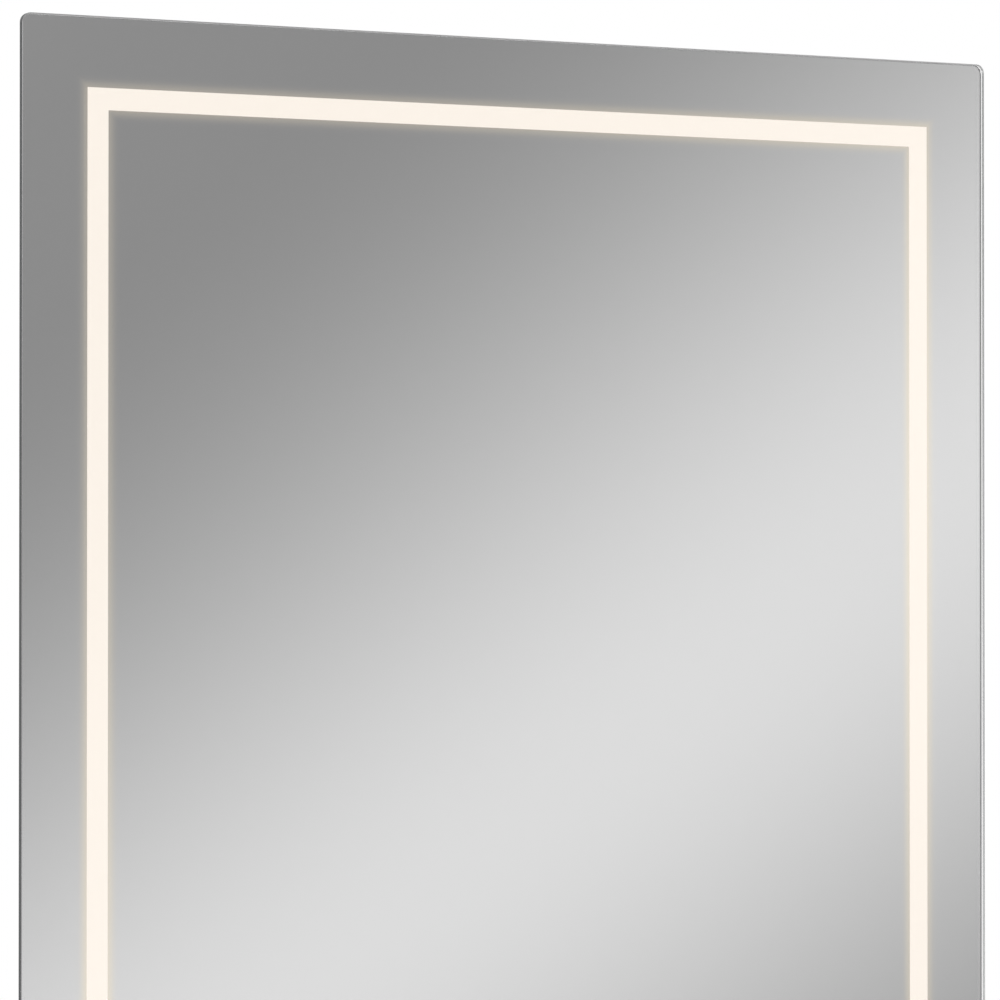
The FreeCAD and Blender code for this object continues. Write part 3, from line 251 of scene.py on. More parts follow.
@dataclass(frozen=True)
class FloatGlass(Finish):
    """Clear float glass: fire-polished faces without a ripple, a polished rim, and between
    them an arris ground with a fine wheel, which frosts it to one soft pale line.

    The pane's outline is an upright rectangle with rounded corners, given by half its sides,
    the height of its middle and its corners' radius. A fine wheel's marks are a tenth of a
    millimetre apart, too fine to show, so they are drawn three times as wide.
    """

    half_width: float = field(kw_only=True)
    half_height: float = field(kw_only=True)
    middle: float = field(kw_only=True)
    corner: float = 5.0 * MM
    # how far in from the rim the grinding runs, and how near to it a point is on the rim
    arris: float = 0.4 * MM
    skin: float = 0.02 * MM
    # the arris's roughness, and its marks' width and depth
    frost: float = 0.3
    mark: float = 0.3 * MM
    cut: float = 0.004 * MM

    def pattern(self, tree: bpy.types.NodeTree, shader: bpy.types.Node) -> None:
        """Clear all over, but frosted and finely marked by the wheel on the arris, which is
        where a point lies within its width of the rim and not yet on the rim.

        Args:
            tree: the material's nodes.
            shader: the material's shader.
        """
        shader.inputs["Transmission Weight"].default_value = 1.0
        edge = self.rim_distance(tree)
        near = add(
            tree, "Math", {0: edge, 1: -self.arris}, operation="GREATER_THAN"
        ).outputs[0]
        inside = add(tree, "Math", {0: edge, 1: -self.skin}, operation="LESS_THAN").outputs[0]
        ground = add(tree, "Math", {0: near, 1: inside}, operation="MULTIPLY").outputs[0]
        frosted = add(
            tree, "Math", {0: ground, 1: self.frost}, operation="MULTIPLY"
        ).outputs[0]
        tree.links.new(frosted, shader.inputs["Roughness"])
        grit = self.noise(tree, self.mark)
        marks = add(tree, "Math", {0: grit, 1: ground}, operation="MULTIPLY").outputs[0]
        self.bump(tree, shader, marks, self.cut)

    def rim_distance(self, tree: bpy.types.NodeTree) -> bpy.types.NodeSocket:
        """How far a point near the rim lies outside the pane's outline, negative inside.

        |X| and |Z - middle|, each less its half side and plus the corner's radius, are cut
        off below 0; the distance is the length of that pair less the radius.

        Args:
            tree: the material's nodes.

        Returns:
            The distance, in metres.
        """
        spot = add(tree, "TexCoord").outputs["Object"]
        flat = add(
            tree, "VectorMath", {0: spot, 1: (1, 0, 1), 2: (0, 0, -self.middle)},
            operation="MULTIPLY_ADD",
        ).outputs[0]
        size = add(tree, "VectorMath", {0: flat}, operation="ABSOLUTE").outputs[0]
        core = (self.half_width - self.corner, 0, self.half_height - self.corner)
        past = add(tree, "VectorMath", {0: size, 1: core}, operation="SUBTRACT").outputs[0]
        cut = add(
            tree, "VectorMath", {0: past, 1: (0, 0, 0)}, operation="MAXIMUM"
        ).outputs[0]
        length = add(tree, "VectorMath", {0: cut}, operation="LENGTH").outputs["Value"]
        return add(tree, "Math", {0: length, 1: self.corner}, operation="SUBTRACT").outputs[0]


@dataclass(frozen=True)
class Silvering(Finish):
    """Wet-silvered mirror coating behind the glass: a perfect neutral reflector. For a few
    millimetres beside the lit band it carries painted light, standing for the light that creeps
    sideways out of the band: a warm painted tint in its colour and a faint painted glow.

    The middle line of the band is an upright rectangle, given by half its sides and the
    height of its middle; the band runs for half its width to either side of it.
    """

    half_width: float = field(kw_only=True)
    half_height: float = field(kw_only=True)
    middle: float = field(kw_only=True)
    half_band: float = field(kw_only=True)
    # how far the painted halo reaches, its painted warm tint, and the colour and strength of
    # its painted glow
    reach: float = 3.2 * MM
    painted_halo_tint: str = "#F5ECD9"
    glow: str = "#FEFCFF"
    strength: float = 0.14

    def pattern(self, tree: bpy.types.NodeTree, shader: bpy.types.Node) -> None:
        """The painted halo, a warm painted tint and a painted glow, falls off as a Gaussian of
        the distance from the band's edges.

        Args:
            tree: the material's nodes.
            shader: the material's shader.
        """
        ring = self.line_distance(tree)
        away = add(tree, "Math", {0: ring}, operation="ABSOLUTE").outputs[0]
        clear = add(tree, "Math", {0: away, 1: self.half_band}, operation="SUBTRACT").outputs[0]
        share = add(tree, "Math", {0: clear, 1: self.reach}, operation="DIVIDE").outputs[0]
        square = add(tree, "Math", {0: share, 1: share}, operation="MULTIPLY").outputs[0]
        fall = add(tree, "Math", {0: square, 1: -1.0}, operation="MULTIPLY").outputs[0]
        painted_halo_mask = add(tree, "Math", {0: fall}, operation="EXPONENT").outputs[0]
        # painted halo: near the band the base colour turns to the warm painted tint and the
        # emission to the painted glow
        for socket, near, far in (
            ("Base Color", self.painted_halo_tint, self.colour),
            ("Emission Color", self.glow, "#000000"),
        ):
            ends = {"Factor": painted_halo_mask, "A": linear(far), "B": linear(near)}
            mixed = add(tree, "Mix", ends, data_type="RGBA")
            colours = [output for output in mixed.outputs if output.type == "RGBA"]
            tree.links.new(colours[0], shader.inputs[socket])
        shader.inputs["Emission Strength"].default_value = self.strength

    def line_distance(self, tree: bpy.types.NodeTree) -> bpy.types.NodeSocket:
        """How far a point lies outside the band's middle line, negative inside.

        The distance is the larger of |X| - half width and |Z - middle| - half height.

        Args:
            tree: the material's nodes.

        Returns:
            The distance, in metres.
        """
        spot = add(tree, "TexCoord").outputs["Object"]
        parts = add(tree, "SeparateXYZ", {0: spot})
        level = add(
            tree, "Math", {0: parts.outputs["Z"], 1: self.middle}, operation="SUBTRACT"
        ).outputs[0]
        gaps = []
        for value, half in (
            (parts.outputs["X"], self.half_width), (level, self.half_height)
        ):
            size = add(tree, "Math", {0: value}, operation="ABSOLUTE").outputs[0]
            gaps.append(add(tree, "Math", {0: size, 1: half}, operation="SUBTRACT").outputs[0])
        return add(tree, "Math", {0: gaps[0], 1: gaps[1]}, operation="MAXIMUM").outputs[0]


@dataclass(frozen=True)
class LitPrint(Finish):
    """White ceramic ink, screen-printed and fired, in the window of the silvering. Lit evenly
    from behind, it is a smooth warm white with no lamp spots and without sheen. What is left
    of the lamps is a faint drift over each hand's breadth."""

    glow: str = "#FDF4E9"
    strength: float = 1.02
    drift: float = 90 * MM
    unevenness: float = 0.005

    def pattern(self, tree: bpy.types.NodeTree, shader: bpy.types.Node) -> None:
        """An even glow, a hair brighter and dimmer from place to place.

        Args:
            tree: the material's nodes.
            shader: the material's shader.
        """
        low, high = ((1 + side * self.unevenness) * self.strength for side in (-1, 1))
        level = self.span(tree, self.noise(tree, self.drift), low, high)
        shader.inputs["Emission Color"].default_value = linear(self.glow)
        tree.links.new(level, shader.inputs["Emission Strength"])


@dataclass(frozen=True)
class Lacquer(Finish):
    """Brushed-on sealing lacquer: satin, with a faint drift along the rim, about as long as
    the brush is wide."""

    light: str = "#323435"
    brush: float = 12 * MM
    spread: float = 0.05

    def pattern(self, tree: bpy.types.NodeTree, shader: bpy.types.Node) -> None:
        """Slow drift of tone and gloss along the rim.

        Args:
            tree: the material's nodes.
            shader: the material's shader.
        """
        drift = self.noise(tree, self.brush)
        self.tint(tree, shader, drift, self.light)
        self.gloss(tree, shader, drift, self.spread)


@dataclass(frozen=True)
class Extrusion(Finish):
    """Extruded aluminium. The die leaves fine straight lines along the bar, which anodising
    turns satin and a mill finish leaves brighter and more streaked. The real lines are about
    a tenth of a millimetre apart, too fine to show, so they are drawn three to six times as
    wide."""

    along: Along = Along.LEVEL
    light: str = "#D9DBDC"
    line: float = 0.35 * MM
    depth: float = 0.004 * MM
    spread: float = 0.06
    detail: int = 3

    def pattern(self, tree: bpy.types.NodeTree, shader: bpy.types.Node) -> None:
        """Die lines in colour, gloss and relief, all stretched along the bar.

        Args:
            tree: the material's nodes.
            shader: the material's shader.
        """
        lines = self.noise(tree, self.line, self.along.value, self.detail)
        self.tint(tree, shader, lines, self.light)
        self.gloss(tree, shader, lines, self.spread)
        self.bump(tree, shader, lines, self.depth)


@dataclass(frozen=True)
class PowderCoat(Finish):
    """Polyester powder, sprayed on zinc-coated sheet steel and baked. It flows out to a soft
    orange peel about a millimetre across, with an even silky sheen."""

    light: str = "#D0D2D3"
    drift: float = 70 * MM
    peel: float = 1.1 * MM
    depth: float = 0.02 * MM

    def pattern(self, tree: bpy.types.NodeTree, shader: bpy.types.Node) -> None:
        """Orange peel in relief, and a slow drift of tone over the sheet."""
        self.tint(tree, shader, self.noise(tree, self.drift), self.light)
        self.bump(tree, shader, self.noise(tree, self.peel, detail=1), self.depth)


@dataclass(frozen=True)
class Moulded(Finish):
    """Plastic or rubber from a mould or a die. The tool's skin gives a fine even grain with
    a soft sheen, and the colour runs right through. A spark-eroded mould's grain is under a
    tenth of a millimetre, too fine to show, so it is drawn about four times as coarse."""

    light: str = field(kw_only=True)
    grain: float = 0.35 * MM
    depth: float = 0.01 * MM
    flow: float = 9 * MM
    spread: float = 0.06
    detail: int = 3

    def pattern(self, tree: bpy.types.NodeTree, shader: bpy.types.Node) -> None:
        """The grain in relief and gloss, and a faint flow of tone.

        Args:
            tree: the material's nodes.
            shader: the material's shader.
        """
        grain = self.noise(tree, self.grain, detail=self.detail)
        self.tint(tree, shader, self.noise(tree, self.flow), self.light)
        self.gloss(tree, shader, grain, self.spread)
        self.bump(tree, shader, grain, self.depth)


@dataclass(frozen=True)
class ZincPlate(Finish):
    """Bright zinc plating with clear passivation: bluish bright metal that drifts to straw
    in patches a few millimetres across."""

    straw: str = "#CFCDC4"
    patch: float = 2.5 * MM
    spread: float = 0.07

    def pattern(self, tree: bpy.types.NodeTree, shader: bpy.types.Node) -> None:
        """Blue to straw over each head, with a little uneven gloss.

        Args:
            tree: the material's nodes.
            shader: the material's shader.
        """
        drift = self.noise(tree, self.patch)
        self.tint(tree, shader, drift, self.straw)
        self.gloss(tree, shader, drift, self.spread)


@dataclass(frozen=True)
class Film(Finish):
    """Safety film, embossed between rollers and laid on the back of the pane: dull grey, with a
    pressed diamond, and painted shade for the slow ripples of a sheet laid by hand, drawn as a
    slow drift of tone. The real ribs are about 1.5 mm apart, too fine to show, so they are
    drawn six times as wide."""

    light: str = "#A9AEB0"
    # size of the painted shade that stands for the ripples
    painted_ripple_shade: float = 35 * MM
    rib: float = 8.8 * MM
    depth: float = 0.02 * MM
    # the two ways that the ribs lean, in degrees
    slants: tuple[float, float] = (45, -45)

    def pattern(self, tree: bpy.types.NodeTree, shader: bpy.types.Node) -> None:
        """Two crossed sets of ribs in relief, and painted shade of ripples some centimetres
        long, as a drift of tone.

        Args:
            tree: the material's nodes.
            shader: the material's shader.
        """
        # painted shade: the ripples' light and shade drawn as a slow drift of the film's tone
        self.tint(tree, shader, self.noise(tree, self.painted_ripple_shade), self.light)
        spot = add(tree, "TexCoord").outputs["Object"]
        scale = 2 * math.pi / WAVE / self.rib
        waves = []
        for slant in self.slants:
            turn = {"Vector": spot, "Rotation": (0, math.radians(slant), 0)}
            turned_spot = add(tree, "Mapping", turn).outputs[0]
            ribs = add(
                tree, "TexWave", {"Vector": turned_spot, "Scale": scale}, bands_direction="X"
            )
            waves.append(ribs.outputs["Fac"])
        crossed = add(tree, "Math", {0: waves[0], 1: waves[1]}, operation="ADD").outputs[0]
        self.bump(tree, shader, crossed, self.depth)


@dataclass(frozen=True)
class StudioFloor(Finish):
    """Matt painted boards of a photographer's floor. It keeps the shadow under the object and
    fades to the white background between a near and a far distance."""

    near: float = 0.9
    far: float = 2.4
    light: str = "#F1F1F0"
    drift: float = 0.25

    def pattern(self, tree: bpy.types.NodeTree, shader: bpy.types.Node) -> None:
        """A slow drift of tone, and for the camera a fade to plain white with distance.

        Args:
            tree: the material's nodes.
            shader: the material's shader.
        """
        self.tint(tree, shader, self.noise(tree, self.drift), self.light)
        spot = add(tree, "TexCoord").outputs["Object"]
        flat = add(
            tree, "VectorMath", {0: spot, 1: (1, 1, 0)}, operation="MULTIPLY"
        ).outputs[0]
        away = add(tree, "VectorMath", {0: flat}, operation="LENGTH").outputs["Value"]
        fade = add(
            tree, "MapRange", {"Value": away, "From Min": self.near, "From Max": self.far},
            interpolation_type="SMOOTHSTEP",
        ).outputs["Result"]
        camera = add(tree, "LightPath").outputs["Is Camera Ray"]
        share = add(tree, "Math", {0: fade, 1: camera}, operation="MULTIPLY").outputs[0]
        white = add(tree, "Emission", {"Color": linear("#FFFFFF"), "Strength": 1.0}).outputs[0]
        mixed = add(tree, "MixShader", {0: share, 1: shader.outputs[0], 2: white}).outputs[0]
        tree.links.new(mixed, tree.nodes["Material Output"].inputs["Surface"])


# White ceramic ink, printed and fired: an even warm white while it is lit.
PRINT = LitPrint("lit_ceramic_print", "#4A4845", 0.6)
# Edge lacquer, brushed round the rim: a dark grey satin line.
RIM = Lacquer("rim_sealing_lacquer", "#2C2E2F", 0.45, ior=1.4)
# Polyethylene safety film, embossed between rollers: dull grey with a faint diamond.
FILM = Film("embossed_safety_film", "#A2A7A9", 0.5)
# Acrylic foam tape, cast and slit: black and dry. Its cells are a tenth of a millimetre and
# are drawn four times as coarse, to show.
TAPE = Moulded(
    "acrylic_foam_tape", "#2A2A2C", 0.85, light="#343436", grain=0.4 * MM, depth=0.05 * MM
)
# Aluminium profile, extruded, etched and anodised: satin silver with lines along the bar.
LEVEL_PROFILE = Extrusion("satin_anodised_level", "#C9CBCC", 0.4, 1.0)
UPRIGHT_PROFILE = Extrusion("satin_anodised_upright", "#C9CBCC", 0.4, 1.0, along=Along.UPRIGHT)
# Aluminium rail, left as it came from the die: brighter, with broader streaks.
MILL = Extrusion(
    "mill_finish_aluminium", "#B4B6B7", 0.3, 1.0, light="#DCDDDE", line=0.6 * MM, spread=0.09
)
# Opal acrylic strip, extruded: milky white, nearly smooth, with a soft sheen.
OPAL = Moulded(
    "opal_diffuser_acrylic", "#F5F2EA", 0.45, light="#FAF8F2", grain=0.5 * MM, depth=0.004 * MM
)
# Solder mask, printed over the copper and cured: flat white with a low gloss.
SOLDER_MASK = Moulded(
    "white_solder_mask", "#EDEDE8", 0.4, light="#F5F5F1", depth=0.004 * MM
)
# Aluminium key, sawn off an extruded bar: darker than the profile, with deeper lines.
SAWN_KEY = Extrusion(
    "sawn_aluminium_key", "#8C8E90", 0.45, 1.0, light="#B3B5B6", depth=0.01 * MM
)
# Steel screws, zinc-plated in a barrel and passivated: small, bright and slightly blue.
ZINC = ZincPlate("bright_zinc_plate", "#B8BFC6", 0.3, 1.0)
# Polyester powder, baked on the sheet: pale grey, soft orange peel, silky sheen.
COAT = PowderCoat("pale_grey_powder_coat", "#CCCECF", 0.45)
# Closed-cell rubber foam, cut into strips: black and quite matt. Its cells, a third of a
# millimetre across, are drawn twice as coarse, to show.
GASKET = Moulded(
    "closed_cell_gasket", "#1D1D1F", 0.9, light="#29292B", grain=0.6 * MM, depth=0.06 * MM
)
# Polycarbonate wiring box, injection-moulded: off-white with a fine even grain.
BOX = Moulded("moulded_polycarbonate", "#E2E2DE", 0.5, light="#E5E5E1")
# Rubber grommet, moulded under heat: black, with a dull soft sheen.
RUBBER = Moulded("moulded_black_rubber", "#151515", 0.62, light="#1E1E1E")
# Nylon block and clips, injection-moulded and left uncoloured: milky and a little waxy.
NYLON = Moulded("natural_nylon", "#DAD9D2", 0.42, light="#E4E3DD")
# Polycarbonate driver case, injection-moulded: a cleaner white than the box.
CASE = Moulded("driver_polycarbonate", "#E4E4E3", 0.45, light="#EBEBEA")
# PVC sheaths, extruded round the cores: smooth and half matt, faintly wavy along the lead.
MAINS = Moulded("grey_pvc_sheath", "#C9C9C9", 0.5, light="#D4D4D4", grain=0.8 * MM)
FEED = Moulded("black_pvc_sheath", "#17171A", 0.5, light="#212124", grain=0.8 * MM)
# PVC sheath in two colours: green and yellow patches here, for the real one's two stripes.
EARTH = Moulded("green_yellow_sheath", "#3F8F2A", 0.5, light="#D8CF2B", grain=0.8 * MM)
# Silicone bumper, cast in domes: clear grey, smooth, with a soft highlight.
SILICONE = Moulded(
    "clear_grey_silicone", "#B9BDBF", 0.35, light="#C6CACC", depth=0.003 * MM
)
# Boards painted with a roller: nearly white and matt.
FLOOR = StudioFloor("pale_studio_floor", "#EDEDEC", 0.8)


# ---------------------------------------------------------------- meshes

# faces that meet more sharply than this show an edge
SHARP = math.radians(40)


class Ends(Enum):
    """How the first and last ring of a surface are closed."""

    POLES = "each drawn in to one point"
    LOOP = "joined to each other"


def ring_surface(name: str, rings: np.ndarray, ends: Ends) -> bpy.types.Object:
    """Make one mesh of alike closed surfaces, each a grid of rings.

    Point (i, k) of a surface is joined to (i, k + 1) round its ring, which closes, and to
    (i + 1, k) on the next ring. With poles, the mean of the first and of the last ring is a
    point that all of that ring's corners are joined to.

    Args:
        name: the piece's name.
        rings: points, as copies x rings x corners x 3.
        ends: how each surface is closed.

    Returns:
        The piece, in the scene, with its faces outward and smooth but for sharp edges.
    """
    copies, rows, cols = rings.shape[:3]
    loop = ends is Ends.LOOP
    steps_up = np.arange(rows if loop else rows - 1)
    i, k = np.meshgrid(steps_up, np.arange(cols), indexing="ij")
    j, n = (i + 1) % rows, (k + 1) % cols
    quads = np.stack([i * cols + k, i * cols + n, j * cols + n, j * cols + k], -1)
    quads = quads.reshape(-1, 4)
    points = rings.reshape(copies, -1, 3)
    fans = np.zeros((0, 3), int)
    if not loop:
        poles = rings[:, [0, -1]].mean(axis=2)
        points = np.concatenate([points, poles], axis=1)
        a, b = np.arange(cols), (np.arange(cols) + 1) % cols
        first, last = np.full(cols, rows * cols), np.full(cols, rows * cols + 1)
        foot = (rows - 1) * cols
        fans = np.concatenate([
            np.stack([first, b, a], -1), np.stack([last, foot + a, foot + b], -1)
        ])
    if signed_volume(points[0], quads, fans) < 0:
        quads, fans = quads[:, ::-1], fans[:, ::-1]
    steps = np.arange(copies)[:, None, None] * points.shape[1]
    faces = (quads + steps).reshape(-1, 4).tolist() + (fans + steps).reshape(-1, 3).tolist()
    mesh = bpy.data.meshes.new(name)
    mesh.from_pydata(points.reshape(-1, 3).tolist(), [], faces)
    mesh.shade_smooth()
    mesh.set_sharp_from_angle(angle=SHARP)
    made = bpy.data.objects.new(name, mesh)
    bpy.context.scene.collection.objects.link(made)
    return made


def signed_volume(points: np.ndarray, quads: np.ndarray, fans: np.ndarray) -> float:
    """Volume inside a surface: a sixth of the triple product of every triangle's corners.

    Args:
        points: the surface's points, as rows of x, y, z.
        quads: its four-cornered faces, as rows of point numbers.
        fans: its three-cornered faces, likewise.

    Returns:
        The volume, negative if the faces are inside out.
    """
    triangles = np.concatenate([quads[:, [0, 1, 2]], quads[:, [0, 2, 3]], fans])
    a, b, c = (points[triangles[:, n]] for n in range(3))
    return float((a * np.cross(b, c)).sum() / 6)


def turned(profile: np.ndarray, centres: np.ndarray, corners: int) -> np.ndarray:
    """Turn a profile about lines along Y.

    Ring i, corner k lies at the centre plus radius_i * (cos, sin) of the k-th part of a full
    turn in the XZ plane, and at depth_i along Y.

    Args:
        profile: rows of (radius, y).
        centres: rows of (x, z), one for each copy.
        corners: points round each ring.

    Returns:
        Points, as copies x rings x corners x 3.
    """
    angle = np.linspace(0, 2 * np.pi, corners, endpoint=False)
    radius, depth = profile[:, 0, None], profile[:, 1, None]
    ring = np.stack([radius * np.cos(angle), depth + 0 * angle, radius * np.sin(angle)], -1)
    shift = np.zeros((len(centres), 1, 1, 3))
    shift[:, 0, 0, 0], shift[:, 0, 0, 2] = centres.T
    return ring[None] + shift


def islands(node: str, reach: float = 12 * MM) -> tuple[np.ndarray, float, float]:
    """Where the alike small solids of a node lie.

    Args:
        node: the node's name.
        reach: solids are smaller than this across, and further apart.

    Returns:
        Their middles as rows of (x, z), and the lowest and highest Y of them all.
    """
    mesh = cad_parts[node].data
    spots = np.empty(len(mesh.vertices) * 3, np.float32)
    mesh.vertices.foreach_get("co", spots)
    spots = spots.reshape(-1, 3).astype(float)
    low, high = spots[:, 1].min(), spots[:, 1].max()
    flat, middles = spots[:, [0, 2]], []
    while len(flat):
        near = np.linalg.norm(flat - flat[0], axis=1) < reach
        middles.append((flat[near].min(axis=0) + flat[near].max(axis=0)) / 2)
        flat = flat[~near]
    return np.array(middles), low, high


def smooth_step(value: np.ndarray, low: float, high: float) -> np.ndarray:
    """0 below low, 1 above high, and an even slope between them."""
    share = np.clip((value - low) / (high - low), 0, 1)
    return share * share * (3 - 2 * share)


# ---------------------------------------------------------------- small turned pieces


@dataclass(frozen=True)
class GrubScrew:
    """A cup-point grub screw along Y, with a hexagon socket in its +Y end. The socket is
    measured from its middle to a flat; the drill that opened it leaves a flat cone."""

    radius: float = 2.5 * MM
    chamfer: float = 0.35 * MM
    socket: float = 1.25 * MM
    socket_depth: float = 2.0 * MM
    drill: float = 0.4 * MM
    drill_point: float = 0.3 * MM
    cup: float = 0.6 * MM
    corners: int = 48

    def rings(self, centres: np.ndarray, tip: float, head: float) -> np.ndarray:
        """The screw's surface, from the bottom of its socket to its cup.

        The socket's rings are hexagons: a ring's radius over the cosine of the angle, folded
        into one side.

        Args:
            centres: rows of (x, z), one for each screw.
            tip: the cup's rim along Y.
            head: the socket's end along Y.

        Returns:
            Points, as screws x rings x corners x 3.
        """
        floor = head - self.socket_depth
        profile = np.array([
            (self.drill, floor - self.drill_point),
            (self.socket, floor),
            (self.socket, head),
            (self.radius - self.chamfer, head),
            (self.radius, head - self.chamfer),
            (self.radius, tip + 2 * self.chamfer),
            (self.radius - 2 * self.chamfer, tip),
            (self.radius - 3 * self.chamfer, tip),
            (self.cup, tip + self.chamfer),
        ])
        rings = turned(profile, centres, self.corners)
        angle = np.linspace(0, 2 * np.pi, self.corners, endpoint=False)
        fold = (angle % (np.pi / 3)) - np.pi / 6
        socket_rows = slice(1, 3)
        socket = rings[:, socket_rows]
        middle = socket.mean(axis=2, keepdims=True)
        rings[:, socket_rows] = middle + (socket - middle) / np.cos(fold)[:, None]
        return rings


@dataclass(frozen=True)
class PanScrew:
    """A cross-recess pan-head screw along Y, with its head towards +Y."""

    head_radius: float = 3.5 * MM
    head_tall: float = 2.2 * MM
    dome: float = 0.55 * MM
    # the rings that carry the recess, and then those of the plain dome: from, to and how many
    recess_rings: tuple[float, float, int] = (0.15 * MM, 2.1 * MM, 12)
    dome_rings: tuple[float, float, int] = (2.35 * MM, 3.3 * MM, 5)
    # the head's rounded edge: how far in it starts, how far below the top it starts and
    # ends, and the chamfer under the head
    edge: float = 0.05 * MM
    edge_start: float = 0.85 * MM
    edge_end: float = 1.2 * MM
    under: float = 0.15 * MM
    shank: float = 1.75 * MM
    neck: float = 0.4 * MM
    # the thread: its pitch and depth, and where it starts below the head and ends above
    # the tip
    pitch: float = 1.25 * MM
    thread: float = 0.3 * MM
    thread_start: float = 0.5 * MM
    thread_end: float = 1.2 * MM
    rings_per_turn: int = 6
    # the point: its height, and what is left there of the shank's radius
    point: float = 0.5 * MM
    point_shares: tuple[float, float] = (0.75, 0.25)
    # an arm of the cross: its length and half its width, and how far their walls slope
    arm: float = 1.9 * MM
    arm_half: float = 0.42 * MM
    arm_slope: float = 0.2 * MM
    arm_end_slope: float = 0.3 * MM
    # the recess's depth in its middle, and the share of it that is lost at an arm's end
    recess: float = 1.5 * MM
    taper: float = 0.35
    corners: int = 64

    def rings(self, centres: np.ndarray, tip: float, top: float) -> np.ndarray:
        """The screw's surface from the middle of its recess to its tip.

        The head's height is a flat dome, less a cross: an arm is where one coordinate is
        within its half width and the other within its length. The shank's radius is a
        triangle wave of (depth / pitch - turn / full turn), which is the thread.

        Args:
            centres: rows of (x, z), one for each screw.
            tip: the screw's tip along Y.
            top: the top of its head along Y.

        Returns:
            Points, as screws x rings x corners x 3.
        """
        seat = top - self.head_tall
        radii = np.concatenate([
            np.linspace(*self.recess_rings), np.linspace(*self.dome_rings)
        ])
        crown = top - self.dome * (radii / self.head_radius) ** 3
        side = np.array([
            (self.head_radius - self.edge, top - self.edge_start),
            (self.head_radius, top - self.edge_end),
            (self.head_radius, seat + self.under),
            (self.head_radius - self.under, seat),
            (self.shank, seat),
            (self.shank, seat - self.neck),
        ])
        turns = np.arange(
            seat - self.thread_start, tip + self.thread_end, -self.pitch / self.rings_per_turn
        )
        thread = np.stack([np.full_like(turns, self.shank), turns], -1)
        wide, thin = self.shank * np.array(self.point_shares)
        point = np.array([(wide, tip + self.point), (thin, tip)])
        profile = np.concatenate([np.stack([radii, crown], -1), side, thread, point])
        rings = turned(profile, centres, self.corners)
        middle = rings.mean(axis=2, keepdims=True)
        across, up = (np.abs((rings - middle)[..., n]) for n in (0, 2))
        arms = [
            (1 - smooth_step(one, self.arm_half, self.arm_half + self.arm_slope))
            * (1 - smooth_step(other, self.arm - self.arm_end_slope, self.arm))
            for one, other in ((across, up), (up, across))
        ]
        cross = np.maximum(*arms)
        cross[:, len(radii) :] = 0
        slope = 1 - self.taper * np.hypot(across, up) / self.arm
        rings[..., 1] -= self.recess * cross * slope
        first = len(radii) + len(side)
        rows = slice(first, first + len(turns))
        turn = np.linspace(0, 1, self.corners, endpoint=False)
        wave = np.abs(((turns[:, None] / self.pitch - turn) % 1) * 2 - 1)
        scale = 1 - self.thread / self.shank * (1 - wave)
        rings[:, rows] = np.where(
            np.array([True, False, True]),
            middle[:, rows] + (rings[:, rows] - middle[:, rows]) * scale[None, :, :, None],
            rings[:, rows],
        )
        return rings


@dataclass(frozen=True)
class BlindRivet:
    """A blind rivet along Y: a low dome with the pit that the broken-off pin leaves in its
    middle, a shank, and a tail that swelled when it was set."""

    head: float = 4.0 * MM
    head_tall: float = 1.0 * MM
    # share of the head's height that its dome takes
    dome: float = 0.8
    dome_rings: int = 10
    # the pit: the radius of its mouth, wall and floor, its depth and the easing of its edges
    mouth: float = 1.1 * MM
    pit: float = 0.9 * MM
    pin: float = 0.3 * MM
    pit_deep: float = 1.3 * MM
    ease: float = 0.1 * MM
    shank: float = 2.0 * MM
    # the tail's outline from the shank to its end: radius, and height above the end
    tail: tuple[tuple[float, float], ...] = (
        (2.0 * MM, 3.4 * MM), (2.9 * MM, 2.9 * MM), (3.0 * MM, 2.0 * MM),
        (2.6 * MM, 0.6 * MM), (1.4 * MM, 0.0), (0.5 * MM, 0.0),
    )
    corners: int = 40

    def rings(self, centres: np.ndarray, tip: float, top: float) -> np.ndarray:
        """The rivet's surface from the floor of its pit to the end of its tail.

        The dome falls with the square of the distance from the pit's mouth.

        Args:
            centres: rows of (x, z), one for each rivet.
            tip: the tail's end along Y.
            top: the top of the head along Y.

        Returns:
            Points, as rivets x rings x corners x 3.
        """
        seat = top - self.head_tall
        across = np.linspace(self.mouth, self.head, self.dome_rings)
        share = (across - self.mouth) / (self.head - self.mouth)
        profile = np.concatenate([
            [
                (self.pin, top - self.pit_deep),
                (self.pit - self.ease, top - self.pit_deep + self.ease),
                (self.pit, top - self.ease),
            ],
            np.stack([across, top - self.head_tall * self.dome * share**2], -1),
            [(self.head, seat), (self.shank, seat)],
            np.array(self.tail) + (0, tip),
        ])
        return turned(profile, centres, self.corners)


@dataclass(frozen=True)
class Bumper:
    """A self-adhesive bumper: a low drum with a rounded shoulder towards the wall."""

    radius: float = 7.0 * MM
    shoulder: float = 0.9 * MM
    arc_rings: int = 7
    corners: int = 64

    def rings(self, centres: np.ndarray, front: float, wall: float) -> np.ndarray:
        """The bumper's surface: flat ends, a straight side and a quarter round.

        Args:
            centres: rows of (x, z), one for each bumper.
            front: the end that is stuck on, along Y.
            wall: the end that rests on the wall, along Y.

        Returns:
            Points, as bumpers x rings x corners x 3.
        """
        turn = np.linspace(0, math.pi / 2, self.arc_rings)
        arc = self.shoulder * np.stack([np.sin(turn), np.cos(turn)], -1)
        arc += (self.radius - self.shoulder, wall - self.shoulder)
        inner = self.radius / 2
        profile = np.concatenate([
            [(inner, wall)], arc, [(self.radius, front), (inner, front)]
        ])
        return turned(profile, centres, self.corners)


